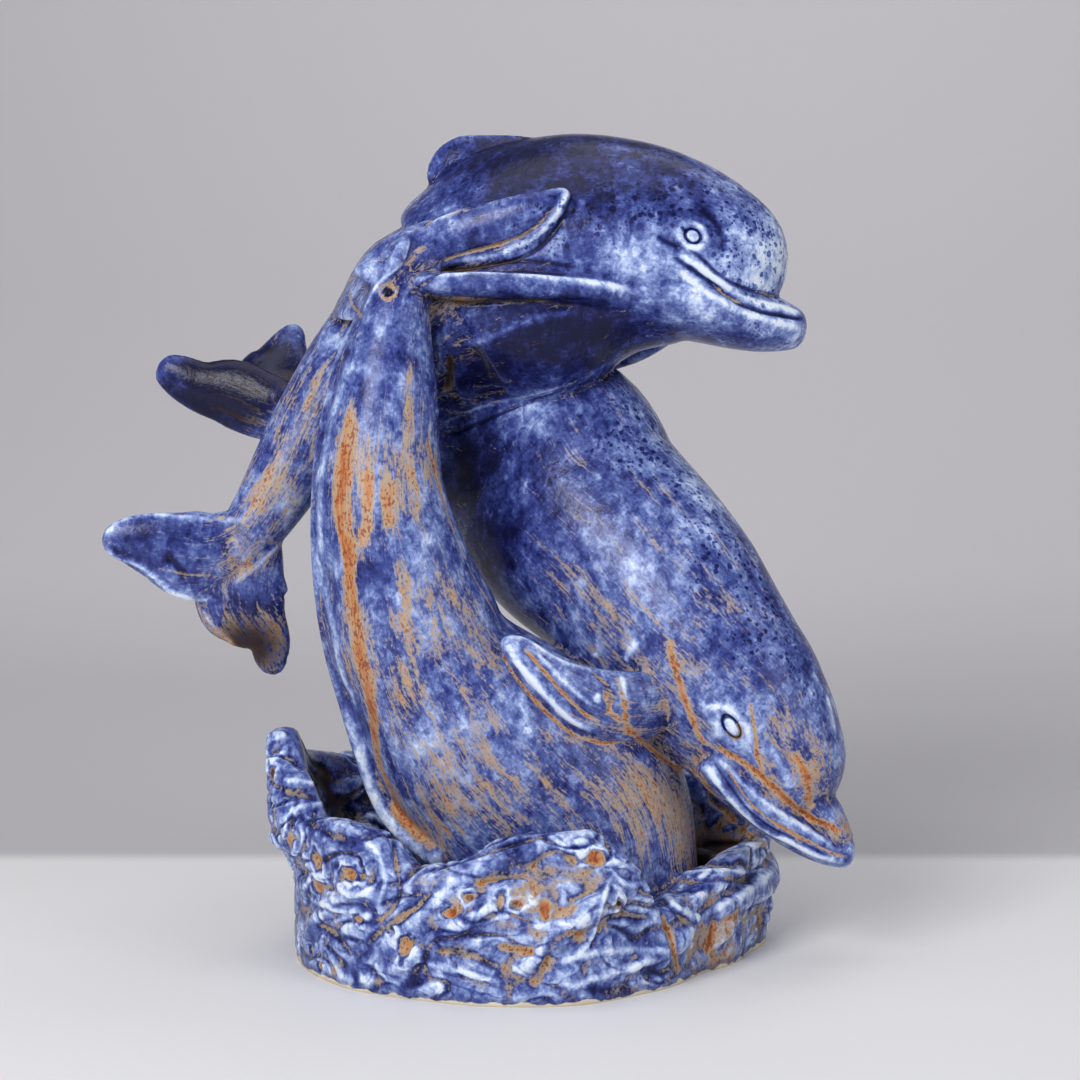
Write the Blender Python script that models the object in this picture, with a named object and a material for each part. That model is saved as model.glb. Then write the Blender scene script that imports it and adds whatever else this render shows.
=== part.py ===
# A stoneware group of three dolphins over a ring of breaking waves, fired as one piece.
# One dolphin dives straight down into the waves, one leaps across its tail towards +X,
# and one passes under the leaping one and plunges towards +X. The front is -Y.
import math

import bmesh
import bpy
from mathutils import Matrix, Vector
from mathutils.bvhtree import BVHTree

GROUP_HEIGHT = 0.380
SHARE = GROUP_HEIGHT / 380.0            # the figures below are written in 380ths of the height
JOIN_GRAIN = GROUP_HEIGHT / 155.0       # finest form that is kept where the clay is joined
FACET_SHARE = 0.041                     # share of the joined surface's faces that is kept
FOOT_SUNK = 4.0                         # how far the waves are modelled below the foot

SIDE_COUNT = 28                         # sides of a body, and rings along it
RING_COUNT = 34
FIN_SIDES = 16
FIN_RINGS = 14
CAP_RINGS = 5

MOUTH_WIDTH = 1.7                       # half width and depth of the line of a mouth
MOUTH_DEPTH = 2.2
EYE_RIM = 1.5                           # thickness of the raised lid around an eye
EYE_BALL = 2.7

# A form is a list of (x, y, z, half height, half width) along its middle line, with the
# direction of its half height, the lengths of its two round ends and how blunt they are.
LEAPER = {
    "rows": [
        (118.3, 14, 315.5, 31.5, 29.5), (100, 17, 320, 33.4, 33), (88, 20, 322.6, 37.7, 36.3),
        (76, 22.5, 324.8, 42.2, 39.3), (64, 25, 327, 45.8, 42), (51, 28, 328.5, 50.3, 44),
        (23, 33, 323.5, 59.5, 48), (-5, 36, 315, 63, 50), (-31, 38, 304.5, 53.5, 47),
        (-42, 38, 298.5, 44.8, 42.5), (-53, 38, 294, 42, 38), (-69, 37, 281.5, 32.5, 30),
        (-84, 35, 269, 24.8, 24), (-104, 30, 240, 20.8, 19), (-120, 22, 213, 17, 15),
        (-132, 16, 194, 14, 12), (-140, 12, 181, 11, 10)],
    "up": (0, 0.3, 0.95), "ends": (30, 5)}
LEAPER_BEAK = {
    "rows": [
        (34, 27, 305, 15, 34), (54, 24, 305, 18, 38.5), (68, 21.5, 303, 18, 38.5),
        (80, 19, 300, 16.5, 36.5), (95, 17, 296, 15.3, 31), (108, 15, 293, 13.8, 24),
        (118, 14, 291, 11.2, 17.5), (127.5, 13, 290, 7.8, 11)],
    "up": (0.1, 0.1, 1), "ends": (8, 6), "blunt": (2.0, 2.4)}
PLUNGER = {
    "rows": [
        (132, -24, 71, 22, 21), (120, -21, 88, 28.5, 28), (111.5, -18, 99.3, 34.8, 31.5),
        (101.5, -15, 112.4, 39.2, 35), (91, -12, 127, 42.3, 37.5), (66.7, 3, 153.6, 51.3, 44),
        (47.5, 18, 177.5, 53.1, 46.5), (23.3, 34, 200, 57.1, 46.5), (4.3, 50, 224.2, 58.7, 43),
        (-28, 64, 234, 42.5, 35), (-57, 76, 242, 28, 27), (-85, 88, 244, 20, 20),
        (-108, 98, 245, 16, 15), (-123, 106, 250, 12, 13)],
    "up": (0.3, 0, 1), "ends": (22, 5)}
PLUNGER_BEAK = {
    "rows": [
        (78, -21, 97.5, 9.6, 25), (86, -22.5, 90, 10.2, 24.5), (97, -24, 80.5, 10, 22),
        (112, -26, 69, 9.5, 18), (126, -28, 59.5, 8.7, 14.5), (137, -30, 54.5, 7.6, 11.5),
        (147.5, -31, 52.5, 6.6, 8)],
    "up": (0.5, 0, 1), "ends": (6, 5), "blunt": (2.0, 2.4)}
PLUNGER_NOSE = {
    "rows": [
        (116, -22, 88, 12, 16), (125, -24.5, 79, 10.5, 14), (134.5, -27, 70, 8.5, 11.5),
        (141, -29, 61.5, 5.5, 8), (144.5, -30, 56.5, 4, 5)],
    "up": (0.5, 0, 1), "ends": (5, 3)}
DIVER = {
    "rows": [
        (-57, -7, 319, 13, 11), (-61, -10, 302, 15.5, 15), (-65, -14, 281, 21, 18),
        (-67, -19, 259, 25, 20), (-69, -23, 236, 28, 22.5), (-69, -25, 217, 30.3, 25.5),
        (-66.5, -25, 199, 33, 28.5), (-62, -24, 180.5, 35.7, 31.5), (-56.6, -21.5, 159.5, 40.4, 36.5),
        (-47, -18, 137.5, 41.5, 42), (-28, -13.5, 110, 54, 47.5), (-11.5, -7, 89, 61.5, 51),
        (4, -1, 66, 69, 54), (10, 1, 38, 68, 55), (12, 2, 18, 66, 54), (12, 2, 0, 60, 50)],
    "up": (-1, 0, 0), "ends": (8, 5), "keel": 0.9}
DIVER_KEEL = {
    "rows": [
        (-76, -11, 296, 3, 3), (-84, -14, 282, 3.2, 3.4), (-90, -19, 259, 3.4, 3.6),
        (-94.6, -23, 236, 3.4, 3.6), (-96.6, -25, 204, 3.4, 3.6), (-95.5, -24, 175, 3.4, 3.8),
        (-92, -20, 147, 3.4, 4), (-84.5, -16, 118, 3.6, 4.2), (-76, -13, 90, 4, 4.6),
        (-67, -15, 70, 4.6, 5), (-55, -24, 58, 4.6, 5), (-40, -37, 50, 4.4, 5)],
    "up": (-1, 0, 0), "ends": (3, 3)}

FINS = {
    "diver near fluke": {
        "rows": [
            (-66, -10, 304, 20, 12), (-59, -9, 315, 18, 12), (-50, -7, 324, 14.5, 10),
            (-36, -6.5, 331, 12, 7), (-18, -9.5, 336, 12, 5.6), (-1.5, -11.6, 341, 11.3, 5.2),
            (9.5, -11.2, 346.6, 8, 4.8), (17.5, -9.6, 352.5, 3.6, 3.6)],
        "up": (-0.4, 0, 1)},
    "diver far fluke": {
        "rows": [
            (-62, -12, 314, 20, 6), (-67, -4, 313, 22, 5), (-72.5, 6, 312, 22, 4.6),
            (-77.5, 18, 311.5, 21, 4.4), (-80.6, 36, 311, 19, 4.4), (-78, 54, 308, 16, 4.4),
            (-70, 66, 302, 11, 4.2), (-60, 73, 295, 4.4, 3.6)],
        "up": (0.62, 0, 0.78)},
    "diver fluke ridge": {
        "rows": [
            (-77, -12, 293, 3, 3), (-70.5, -18, 306, 3.2, 3.2), (-65.5, -20.5, 313.5, 3.2, 3.2),
            (-61.2, -20.5, 321, 3.2, 3.2), (-57.4, -17, 329, 3, 3), (-53.5, -11, 334.6, 2.6, 2.6)],
        "up": (-1, 0, 0)},
    "leaper near flipper": {
        "rows": [
            (62, 7, 305, 8, 8), (48, -2, 306, 8, 8), (32, -10, 308, 7.4, 9), (14, -14, 309.5, 6.4, 10),
            (-8, -16.5, 310.5, 5.8, 10), (-30, -18, 311, 5.6, 11), (-44, -19, 311.5, 5.4, 10),
            (-53, -22, 312, 3.4, 6)],
        "up": (0, 0, 1)},
    "leaper far flipper": {
        "rows": [
            (66, 44, 292, 9, 8), (52, 58, 284, 12, 7.4), (32, 72, 277, 12, 6.4), (10, 82, 270, 9, 5.4),
            (-8, 89, 265, 4, 4)],
        "up": (0.3, 0.5, 0.8)},
    "plunger near flipper": {
        "rows": [
            (60, -26, 122, 15, 9), (50, -34, 121, 17, 9.6), (38, -41, 122, 17, 9.4),
            (24, -46, 127, 14.6, 8.2),
            (10, -50, 136, 11.4, 7.2), (-2, -51, 146, 8, 6), (-13, -49, 154, 4, 4)],
        "up": (0.4, 0, 0.8)},
    "plunger far flipper": {
        "rows": [
            (80, 22, 118, 14, 8), (62, 38, 108, 15, 8), (44, 50, 100, 12, 7),
            (28, 58, 96, 8, 5.6), (15, 62, 95, 4, 4)],
        "up": (0.4, 0, 0.8)},
    "leaper near fluke": {
        "rows": [
            (-124, 17, 201, 10, 9), (-134, 15, 193, 15, 9), (-146, 12, 187, 19, 8),
            (-159, 9, 185.5, 21, 7.4),
            (-176, 7, 190.3, 15.5, 6.4), (-190, 6, 192.5, 10, 5.4), (-199, 5, 190.5, 4.8, 4)],
        "up": (0, 0, 1)},
    "leaper far fluke": {
        "rows": [
            (-126, 17, 199, 10, 9), (-131, 16, 187, 16, 9), (-135, 15, 175, 21, 8),
            (-135.5, 15, 163, 22, 7.4), (-130, 16, 153.5, 17.5, 6.6), (-123.5, 18, 144, 10.5, 6),
            (-122.5, 20, 135, 8, 5), (-120, 21, 127.5, 4.4, 4)],
        "up": (1, 0, 0)},
    "plunger near fluke": {
        "rows": [
            (-106, 97, 245, 13, 11), (-120, 102, 246, 15, 10), (-135, 106, 250, 17, 8.6),
            (-150, 108, 256, 17, 7.6),
            (-165, 108, 259, 13, 6.6), (-177, 108, 265, 10.5, 5.6), (-186, 108, 270.5, 6.5, 4.2)],
        "up": (0, 0, 1)},
    "plunger far fluke": {
        "rows": [
            (-110, 99, 246, 12, 10), (-121, 107, 250, 15, 9), (-130.5, 117, 261, 18.5, 8),
            (-126, 126, 270, 15.5, 7),
            (-123.5, 136, 280, 9.5, 5.6), (-119.5, 142, 288.5, 4, 4)],
        "up": (-1, 0, 0.3)},
    "leaper back fin": {
        "rows": [
            (22, 35, 364, 10, 9), (8, 36, 366, 12, 8), (-8, 37, 366, 14.2, 7), (-24, 38, 365, 15.6, 6),
            (-31, 38, 363.5, 16.6, 5.4), (-37, 38, 358, 15, 5), (-42, 38, 351, 9, 4.6)],
        "up": (0, 0.15, 1)},
}

# The wall of waves, by the angle around the foot in degrees: 0 is +X and -90 the front.
WALL_RADIUS = [
    (-180, 110), (-165, 109), (-143, 107), (-116, 100.5), (-82, 99), (-54, 92), (-31, 88.5), (-10, 98.5),
    (12, 113.5), (50, 107), (90, 99), (135, 104)]
WALL_FLARE = [
    (-180, 12.5), (-150, 3), (-116, -8), (-90, -19), (-54, -6), (-31, 3), (-10, 20), (14, 17), (50, 8),
    (90, -3), (135, 5)]
WALL_HEIGHT = [
    (-177, 107), (-168, 91), (-159, 72), (-145, 74), (-136, 72), (-124, 57), (-112, 60), (-95, 71),
    (-70, 73), (-60, 60), (-50, 36), (-34, 39), (-22, 46), (-8, 50), (8, 51), (22, 61), (36, 71),
    (62, 74), (90, 70), (125, 76), (150, 84), (165, 89)]
WALL_STEPS = 90                         # places around the wall, and rings up its outside
WALL_RINGS = 8
WALL_THICKNESS = 15.0
LIP = 3.5                               # how far the wall's top edge is rounded
FLARE_FROM = 44.0
FLARE_TO = 66.0
POOL_FLOOR = 31.0
POOL_SLOPE = 22.0                       # width of the slope from the lip down to the pool
POOL_RINGS = 4

# Rolls of clay laid on the wall: (first angle, last angle, first height, last height,
# half thickness, how far in), the heights as shares of the wall's height there.
WALL_ROLLS = [
    (-121, -57, 0.93, 0.93, 8.5, 4.7), (-52, 18, 0.93, 0.9, 5.5, 3), (-178, -150, 0.97, 0.72, 6.5, 3.6),
    (-172, -140, 0.42, 0.78, 5, 2.8), (-25, 55, 0.68, 0.66, 9, 2), (18, 80, 0.92, 0.9, 5.5, 3),
    (80, 175, 0.92, 0.94, 6, 3.3)]
CURL_COUNT = 11                         # curling ridges around the outside
CURL_SWEEP = 44.0
CURL_LOW = 0.16
CURL_HIGH = 0.66
CURL_THICKNESS = 5.8

# Ledges on the inside: (first angle, last angle, height, half thickness).
LEDGES = [(95, 178, 50, 6), (110, 176, 68, 5.5), (-30, 50, 33, 4.5)]

# The line of each mouth and each eye, (x, z), seen from the side.
LEAPER_MOUTH = [(62, 324), (70, 317.5), (80, 310.5), (95, 303), (109, 299.4), (122, 296)]
PLUNGER_MOUTH = [(77.5, 104), (85, 96), (94, 87), (103, 79.4), (121.6, 64.8), (134, 57.2), (142, 53)]
LEAPER_EYE = (72.5, 333.5)
PLUNGER_EYE = (88.6, 113.8)
EYE_LENGTH = {"leaper": 5.2, "plunger": 6.2}
EYE_HEIGHT = {"leaper": 4.0, "plunger": 3.6}
EYE_SLOPE = {"leaper": (0.9, 0, -0.42), "plunger": (0.62, 0, -0.78)}


def clear_scene():
    for item in list(bpy.data.objects):
        bpy.data.objects.remove(item)


def smooth_rows(rows):
    # a smooth curve through rows of numbers, by the distance along its first three
    keys = [0.0]
    for row, following in zip(rows, rows[1:]):
        keys.append(keys[-1] + (Vector(following[:3]) - Vector(row[:3])).length)
    last = len(rows) - 1

    def slope(index, column):
        before, after = max(index - 1, 0), min(index + 1, last)
        return (rows[after][column] - rows[before][column]) / (keys[after] - keys[before])

    def at(distance):
        distance = min(max(distance, 0.0), keys[-1])
        index = 0
        while index < last - 1 and keys[index + 1] < distance:
            index += 1
        span = keys[index + 1] - keys[index]
        t = (distance - keys[index]) / span
        values = []
        for column in range(len(rows[0])):
            values.append(
                (2 * t**3 - 3 * t * t + 1) * rows[index][column]
                + (t**3 - 2 * t * t + t) * span * slope(index, column)
                + (-2 * t**3 + 3 * t * t) * rows[index + 1][column]
                + (t**3 - t * t) * span * slope(index + 1, column))
        return values

    return at, keys[-1]


def ring_places(total, ends, rings):
    # closer together over the two round ends
    first, second = ends
    places = [first * (1 - math.cos(0.5 * math.pi * k / CAP_RINGS)) for k in range(CAP_RINGS + 1)]
    middle = total - first - second
    places += [first + middle * k / rings for k in range(1, rings)]
    places += [
        total - second * (1 - math.cos(0.5 * math.pi * k / CAP_RINGS)) for k in range(CAP_RINGS, -1, -1)]
    return places


def round_end(distance, length, blunt):
    share = min(distance / length, 1.0)
    return (1 - (1 - share) ** blunt) ** (1 / blunt)


def bridge(bm, rings):
    # a ring of one vertex closes the form to a point
    for ring, following in zip(rings, rings[1:]):
        for j in range(max(len(ring), len(following))):
            corners = []
            for vert in (
                    ring[j % len(ring)], ring[(j + 1) % len(ring)],
                    following[(j + 1) % len(following)], following[j % len(following)]):
                if vert not in corners:
                    corners.append(vert)
            bm.faces.new(corners)


def loft(bm, form, rings=FIN_RINGS, sides=FIN_SIDES):
    # one closed form of rounded sections; a keel pinches the sections to an edge
    at, total = smooth_rows(form["rows"])
    ends = form.get("ends", (5, 4))
    blunt = form.get("blunt", (2.0, 2.0))
    keel = form.get("keel", 0.0)
    up = Vector(form["up"])
    loops = []
    places = ring_places(total, ends, rings)
    for number, place in enumerate(places):
        x, y, z, half_height, half_width = at(place)
        middle = Vector((x, y, z))
        along = (Vector(at(place + 1.5)[:3]) - Vector(at(place - 1.5)[:3])).normalized()
        top = (up - along * up.dot(along)).normalized()
        side = along.cross(top)
        if number in (0, len(places) - 1):
            loops.append([bm.verts.new(middle * SHARE)])
            continue
        size = round_end(place, ends[0], blunt[0]) * round_end(total - place, ends[1], blunt[1])
        loop = []
        for j in range(sides):
            turn = 2 * math.pi * j / sides
            rise, spread = math.cos(turn), math.sin(turn)
            pinch = abs(spread) ** (keel * rise * rise) if rise > 0 and spread else 1.0
            offset = top * half_height * rise + side * half_width * spread * pinch
            loop.append(bm.verts.new((middle + offset * size) * SHARE))
        loops.append(loop)
    bridge(bm, loops)


def around(table, angle):
    # a table's value at an angle, eased from one entry to the next
    first = table[0][0]
    angle = (angle - first) % 360 + first
    entries = table + [(first + 360, table[0][1])]
    for (start, value), (end, following) in zip(entries, entries[1:]):
        if start <= angle <= end:
            t = (angle - start) / (end - start)
            return value + (following - value) * t * t * (3 - 2 * t)
    return entries[-1][1]


def wall_radius(angle, height):
    t = min(max((height - FLARE_FROM) / (FLARE_TO - FLARE_FROM), 0.0), 1.0)
    return around(WALL_RADIUS, angle) + around(WALL_FLARE, angle) * t * t * (3 - 2 * t)


def wall_point(angle, height, outwards=0.0):
    radius = wall_radius(angle, height) + outwards
    turn = math.radians(angle)
    return radius * math.cos(turn), radius * math.sin(turn), height


def wave_wall(bm):
    # the ring of waves: a wall that flares and thins to a rounded lip, and the pool inside it
    columns = []
    for j in range(WALL_STEPS):
        angle = 360 * j / WALL_STEPS
        top = around(WALL_HEIGHT, angle)
        places = []
        for k in range(WALL_RINGS + 1):
            places.append(wall_point(angle, -FOOT_SUNK + (top - LIP + FOOT_SUNK) * k / WALL_RINGS))
        places.append(wall_point(angle, top, -LIP))
        for k in range(POOL_RINGS + 1):
            share = k / POOL_RINGS
            x, y, _ = wall_point(angle, top, LIP - WALL_THICKNESS - POOL_SLOPE * share)
            drop = (top - 1 - POOL_FLOOR) * share * share * (3 - 2 * share)
            places.append((x, y, top - 1 - drop))
        columns.append([bm.verts.new(Vector(place) * SHARE) for place in places])
    loops = [list(loop) for loop in zip(*columns)]
    bridge(bm, loops)
    bm.faces.new(list(reversed(loops[0])))
    bm.faces.new(loops[-1])


def roll(bm, places, thickness):
    # a roll of clay through places on the wall, thin at both ends
    rows = []
    for index, place in enumerate(places):
        swell = 0.45 + 0.55 * math.sin(math.pi * (index + 0.5) / len(places))
        rows.append((*place, thickness * swell, thickness * swell))
    loft(bm, {"rows": rows, "up": (0, 0, 1)}, rings=20, sides=12)


def wall_rolls(bm):
    for first, last, low, high, thickness, inwards in WALL_ROLLS:
        places = []
        for k in range(9):
            t = k / 8
            angle = first + (last - first) * t
            height = around(WALL_HEIGHT, angle) * (low + (high - low) * t) - 0.4 * thickness
            places.append(wall_point(angle, height, -inwards))
        roll(bm, places, thickness)


def wall_curls(bm):
    # ridges that climb the outside and fold over at their tips
    for number in range(CURL_COUNT):
        start = 360 * number / CURL_COUNT - 96
        places = []
        for k in range(10):
            t = k / 9
            angle = start + CURL_SWEEP * (t - 0.35 * t**4)
            climb = math.sin(0.5 * math.pi * min(1.25 * t, 1.0)) - 0.9 * max(t - 0.75, 0.0)
            height = around(WALL_HEIGHT, angle) * (CURL_LOW + (CURL_HIGH - CURL_LOW) * climb)
            places.append(wall_point(angle, height, -1.5))
        roll(bm, places, CURL_THICKNESS)


def wall_ledges(bm):
    for first, last, height, thickness in LEDGES:
        places = []
        for k in range(8):
            angle = first + (last - first) * k / 7
            inwards = -WALL_THICKNESS - 4 + 2 * math.sin(2.2 * k)
            places.append(wall_point(angle, height + 2 * math.sin(1.7 * k), inwards))
        roll(bm, places, thickness)


def new_object(name, bm, material=None):
    bmesh.ops.recalc_face_normals(bm, faces=bm.faces)
    mesh = bpy.data.meshes.new(name)
    bm.to_mesh(mesh)
    bm.free()
    item = bpy.data.objects.new(name, mesh)
    bpy.context.scene.collection.objects.link(item)
    if material:
        mesh.materials.append(material)
    return item


def glazed_stoneware():
    material = bpy.data.materials.new("glazed_stoneware")
    material.use_nodes = True
    shader = material.node_tree.nodes["Principled BSDF"]
    shader.inputs["Base Color"].default_value = (0.09, 0.13, 0.42, 1)
    shader.inputs["Roughness"].default_value = 0.28
    shader.inputs["Metallic"].default_value = 0.0
    return material


def model_group():
    # every form overlaps its neighbours, and the remesh joins them as pressed clay
    bm = bmesh.new()
    for body in (LEAPER, PLUNGER, DIVER):
        loft(bm, body, RING_COUNT, SIDE_COUNT)
    for beak in (LEAPER_BEAK, PLUNGER_BEAK, PLUNGER_NOSE):
        loft(bm, beak, FIN_RINGS, SIDE_COUNT)
    loft(bm, DIVER_KEEL, RING_COUNT, 10)
    for fin in FINS.values():
        loft(bm, fin)
    wave_wall(bm)
    wall_rolls(bm)
    wall_curls(bm)
    wall_ledges(bm)
    group = new_object("dolphin_group", bm, glazed_stoneware())
    joined = group.modifiers.new("joined clay", "REMESH")
    joined.mode = "VOXEL"
    joined.voxel_size = JOIN_GRAIN
    joined.use_smooth_shade = True
    facets = group.modifiers.new("facets", "DECIMATE")
    facets.ratio = FACET_SHARE
    return group


def surface_of(item):
    bpy.context.view_layer.update()
    return BVHTree.FromObject(item, bpy.context.evaluated_depsgraph_get())


def on_side(surface, place, side):
    # where a line across the group, from the front (-1) or the back (1), meets the surface,
    # or the place on the surface nearest to a line that passes it by
    origin = Vector((place[0] * SHARE, side * GROUP_HEIGHT, place[1] * SHARE))
    point, normal, _, _ = surface.ray_cast(origin, Vector((0, -side, 0)))
    if point is None:
        point, normal, _, _ = surface.find_nearest(Vector((origin.x, 0, origin.z)))
    return point, normal


def carve_mouth(bm, surface, line, side):
    rows = []
    for place in line:
        point, _ = on_side(surface, place, side)
        rows.append((*(point / SHARE), MOUTH_WIDTH, MOUTH_DEPTH))
    loft(bm, {"rows": rows, "up": (0.3, 0, 1), "ends": (3, 3)}, rings=12, sides=8)


def raise_eye(bm, surface, place, who, side):
    # a ball with a raised lid around it, lying in the surface of the head
    point, normal = on_side(surface, place, side)
    along = Vector(EYE_SLOPE[who])
    along = (along - normal * along.dot(normal)).normalized()
    across = normal.cross(along)
    frame = Matrix.Identity(4)
    for column, axis in enumerate((along, across, normal)):
        for row in range(3):
            frame[row][column] = axis[row]
    frame.translation = point
    lids = []
    for j in range(16):
        turn = 2 * math.pi * j / 16
        middle = Vector((EYE_LENGTH[who] * math.cos(turn), EYE_HEIGHT[who] * math.sin(turn), 0.2))
        outwards = Vector((math.cos(turn), math.sin(turn), 0))
        loop = []
        for k in range(6):
            lift = 2 * math.pi * k / 6
            offset = outwards * math.cos(lift) + Vector((0, 0, math.sin(lift)))
            loop.append(bm.verts.new(frame @ ((middle + offset * EYE_RIM) * SHARE)))
        lids.append(loop)
    bridge(bm, lids + lids[:1])
    slim = EYE_HEIGHT[who] / EYE_LENGTH[who]
    ball = Matrix.Diagonal((EYE_BALL, EYE_BALL * slim, EYE_BALL * 0.75, 1))
    bmesh.ops.create_uvsphere(
        bm, u_segments=10, v_segments=6, radius=1.0,
        matrix=frame @ Matrix.Scale(SHARE, 4) @ ball)


def boolean(item, other, operation):
    cut = item.modifiers.new(other.name, "BOOLEAN")
    cut.operation = operation
    cut.object = other
    cut.solver = "EXACT"
    other.hide_render = True
    other.display_type = "WIRE"


def finish_group(group):
    surface = surface_of(group)
    eyes = bmesh.new()
    carving = bmesh.new()
    for side in (-1, 1):
        raise_eye(eyes, surface, LEAPER_EYE, "leaper", side)
        raise_eye(eyes, surface, PLUNGER_EYE, "plunger", side)
        carve_mouth(carving, surface, LEAPER_MOUTH, side)
        carve_mouth(carving, surface, PLUNGER_MOUTH, side)
    block = 2 * GROUP_HEIGHT                # a block below the foot, wider than the group
    bmesh.ops.create_cube(carving, size=block, matrix=Matrix.Translation((0, 0, -block / 2)))
    boolean(group, new_object("raised eyes", eyes), "UNION")
    boolean(group, new_object("carving", carving), "DIFFERENCE")


clear_scene()
finish_group(model_group())
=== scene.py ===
import math

import bmesh
import bpy
import numpy as np
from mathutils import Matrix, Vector, noise
from mathutils.bvhtree import BVHTree


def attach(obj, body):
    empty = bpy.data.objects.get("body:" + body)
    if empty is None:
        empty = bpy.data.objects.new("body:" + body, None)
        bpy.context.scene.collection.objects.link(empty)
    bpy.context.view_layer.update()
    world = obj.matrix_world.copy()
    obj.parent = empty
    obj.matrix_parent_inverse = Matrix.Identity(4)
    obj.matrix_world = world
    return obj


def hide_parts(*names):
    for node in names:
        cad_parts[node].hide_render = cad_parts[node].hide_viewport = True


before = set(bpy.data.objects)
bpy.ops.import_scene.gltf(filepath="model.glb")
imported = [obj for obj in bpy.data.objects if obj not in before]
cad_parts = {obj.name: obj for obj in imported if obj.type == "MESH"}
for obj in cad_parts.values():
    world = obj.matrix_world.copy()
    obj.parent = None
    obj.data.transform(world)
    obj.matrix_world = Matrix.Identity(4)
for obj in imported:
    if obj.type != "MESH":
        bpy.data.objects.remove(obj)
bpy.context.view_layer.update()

mm = 0.001

view = {
    "stand": (0.004, -1.25, 0.322),  # where the camera is, in metres
    "lookDown": 5.88,  # degrees
    "lens": 90.67,
    "sensor": 36.0,
    "frameSize": 1080.0,
}


def makeCamera():
    data = bpy.data.cameras.new("view")
    data.lens = view["lens"]
    data.sensor_width = view["sensor"]
    data.sensor_fit = "HORIZONTAL"
    data.clip_start = 0.05
    data.clip_end = 30
    camera = bpy.data.objects.new("view", data)
    camera.location = view["stand"]
    camera.rotation_euler = (math.radians(90 - view["lookDown"]), 0, 0)
    bpy.context.scene.collection.objects.link(camera)
    bpy.context.scene.camera = camera


makeCamera()
print("camera stands")

# ---- the forms, each a list of (x, y, z, half height, half width) along its middle line

leaper = {
    "body": {
        "rows": [
            (118.3, 14, 317.8, 33, 29.5), (96, 18, 320.8, 33.8, 34.2), (72, 23.3, 325.2, 43.1, 40.2),
            (46, 29, 327.6, 51.1, 44.8), (23, 33, 324.8, 58, 48), (-5, 36, 315, 63, 50), (-31, 38, 304.5, 53.5, 47),
            (-42, 38, 298.5, 44.8, 42.5), (-53, 38, 294, 42, 38), (-69, 37, 281.5, 32.5, 30),
        (-84, 35, 269, 24.8, 24), (-104, 30, 240, 20.8, 19), (-120, 22, 213, 17, 15), (-132, 16, 194, 14, 12),
            (-140, 12, 181, 11, 10)],
        "up": (0, 0.3, 0.95), "ends": (30, 5)},
    "beak": {
        "rows": [
            (34, 27, 305, 15, 34), (54, 24, 305, 18, 38.5), (68, 21.5, 303, 18, 38.5),
        (80, 19, 300, 16.5, 36.5), (95, 17, 296, 15.3, 31), (108, 15, 293, 13.8, 24),
        (118, 14, 291, 11.2, 17.5), (127.5, 13, 290, 7.8, 11)],
        "up": (0.1, 0.1, 1), "ends": (8, 6), "blunt": (2.0, 2.4)},
    "near flipper": {
        "rows": [
            (62, 7, 305, 8, 8), (48, -2, 306, 8, 8), (32, -10, 308, 7.4, 9), (14, -14, 309.5, 6.4, 10),
            (-8, -16.5, 310.5, 5.8, 10), (-30, -18, 311, 5.6, 11), (-44, -19, 311.5, 5.4, 10),
            (-53, -22, 312, 3.4, 6)],
        "up": (0, 0, 1)},
    "far flipper": {
        "rows": [
            (66, 44, 292, 9, 8), (52, 58, 284, 12, 7.4), (32, 72, 277, 12, 6.4),
            (10, 82, 270, 9, 5.4), (-8, 89, 265, 4, 4)],
        "up": (0.3, 0.5, 0.8)},
    "near fluke": {
        "rows": [
            (-124, 17, 201, 10, 9), (-134, 15, 193, 15, 9), (-146, 12, 187, 19, 8),
            (-159, 9, 185.5, 21, 7.4), (-176, 7, 190.3, 15.5, 6.4), (-190, 6, 192.5, 10, 5.4), (-199, 5, 190.5, 4.8, 4)],
        "up": (0, 0, 1)},
    "far fluke": {
        "rows": [
            (-126, 17, 199, 10, 9), (-131, 16, 187, 16, 9), (-135, 15, 175, 21, 8),
            (-135.5, 15, 163, 22, 7.4), (-130, 16, 153.5, 17.5, 6.6), (-123.5, 18, 144, 10.5, 6),
            (-122.5, 20, 135, 8, 5), (-120, 21, 127.5, 4.4, 4)],
        "up": (1, 0, 0)},
    "back fin": {
        "rows": [
            (22, 35, 364, 10, 9), (8, 36, 366, 12, 8), (-8, 37, 366, 14.2, 7), (-24, 38, 365, 15.6, 6),
            (-31, 38, 363.5, 16.6, 5.4), (-37, 38, 358, 15, 5), (-42, 38, 351, 9, 4.6)],
        "up": (0, 0.15, 1)},
}

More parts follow.
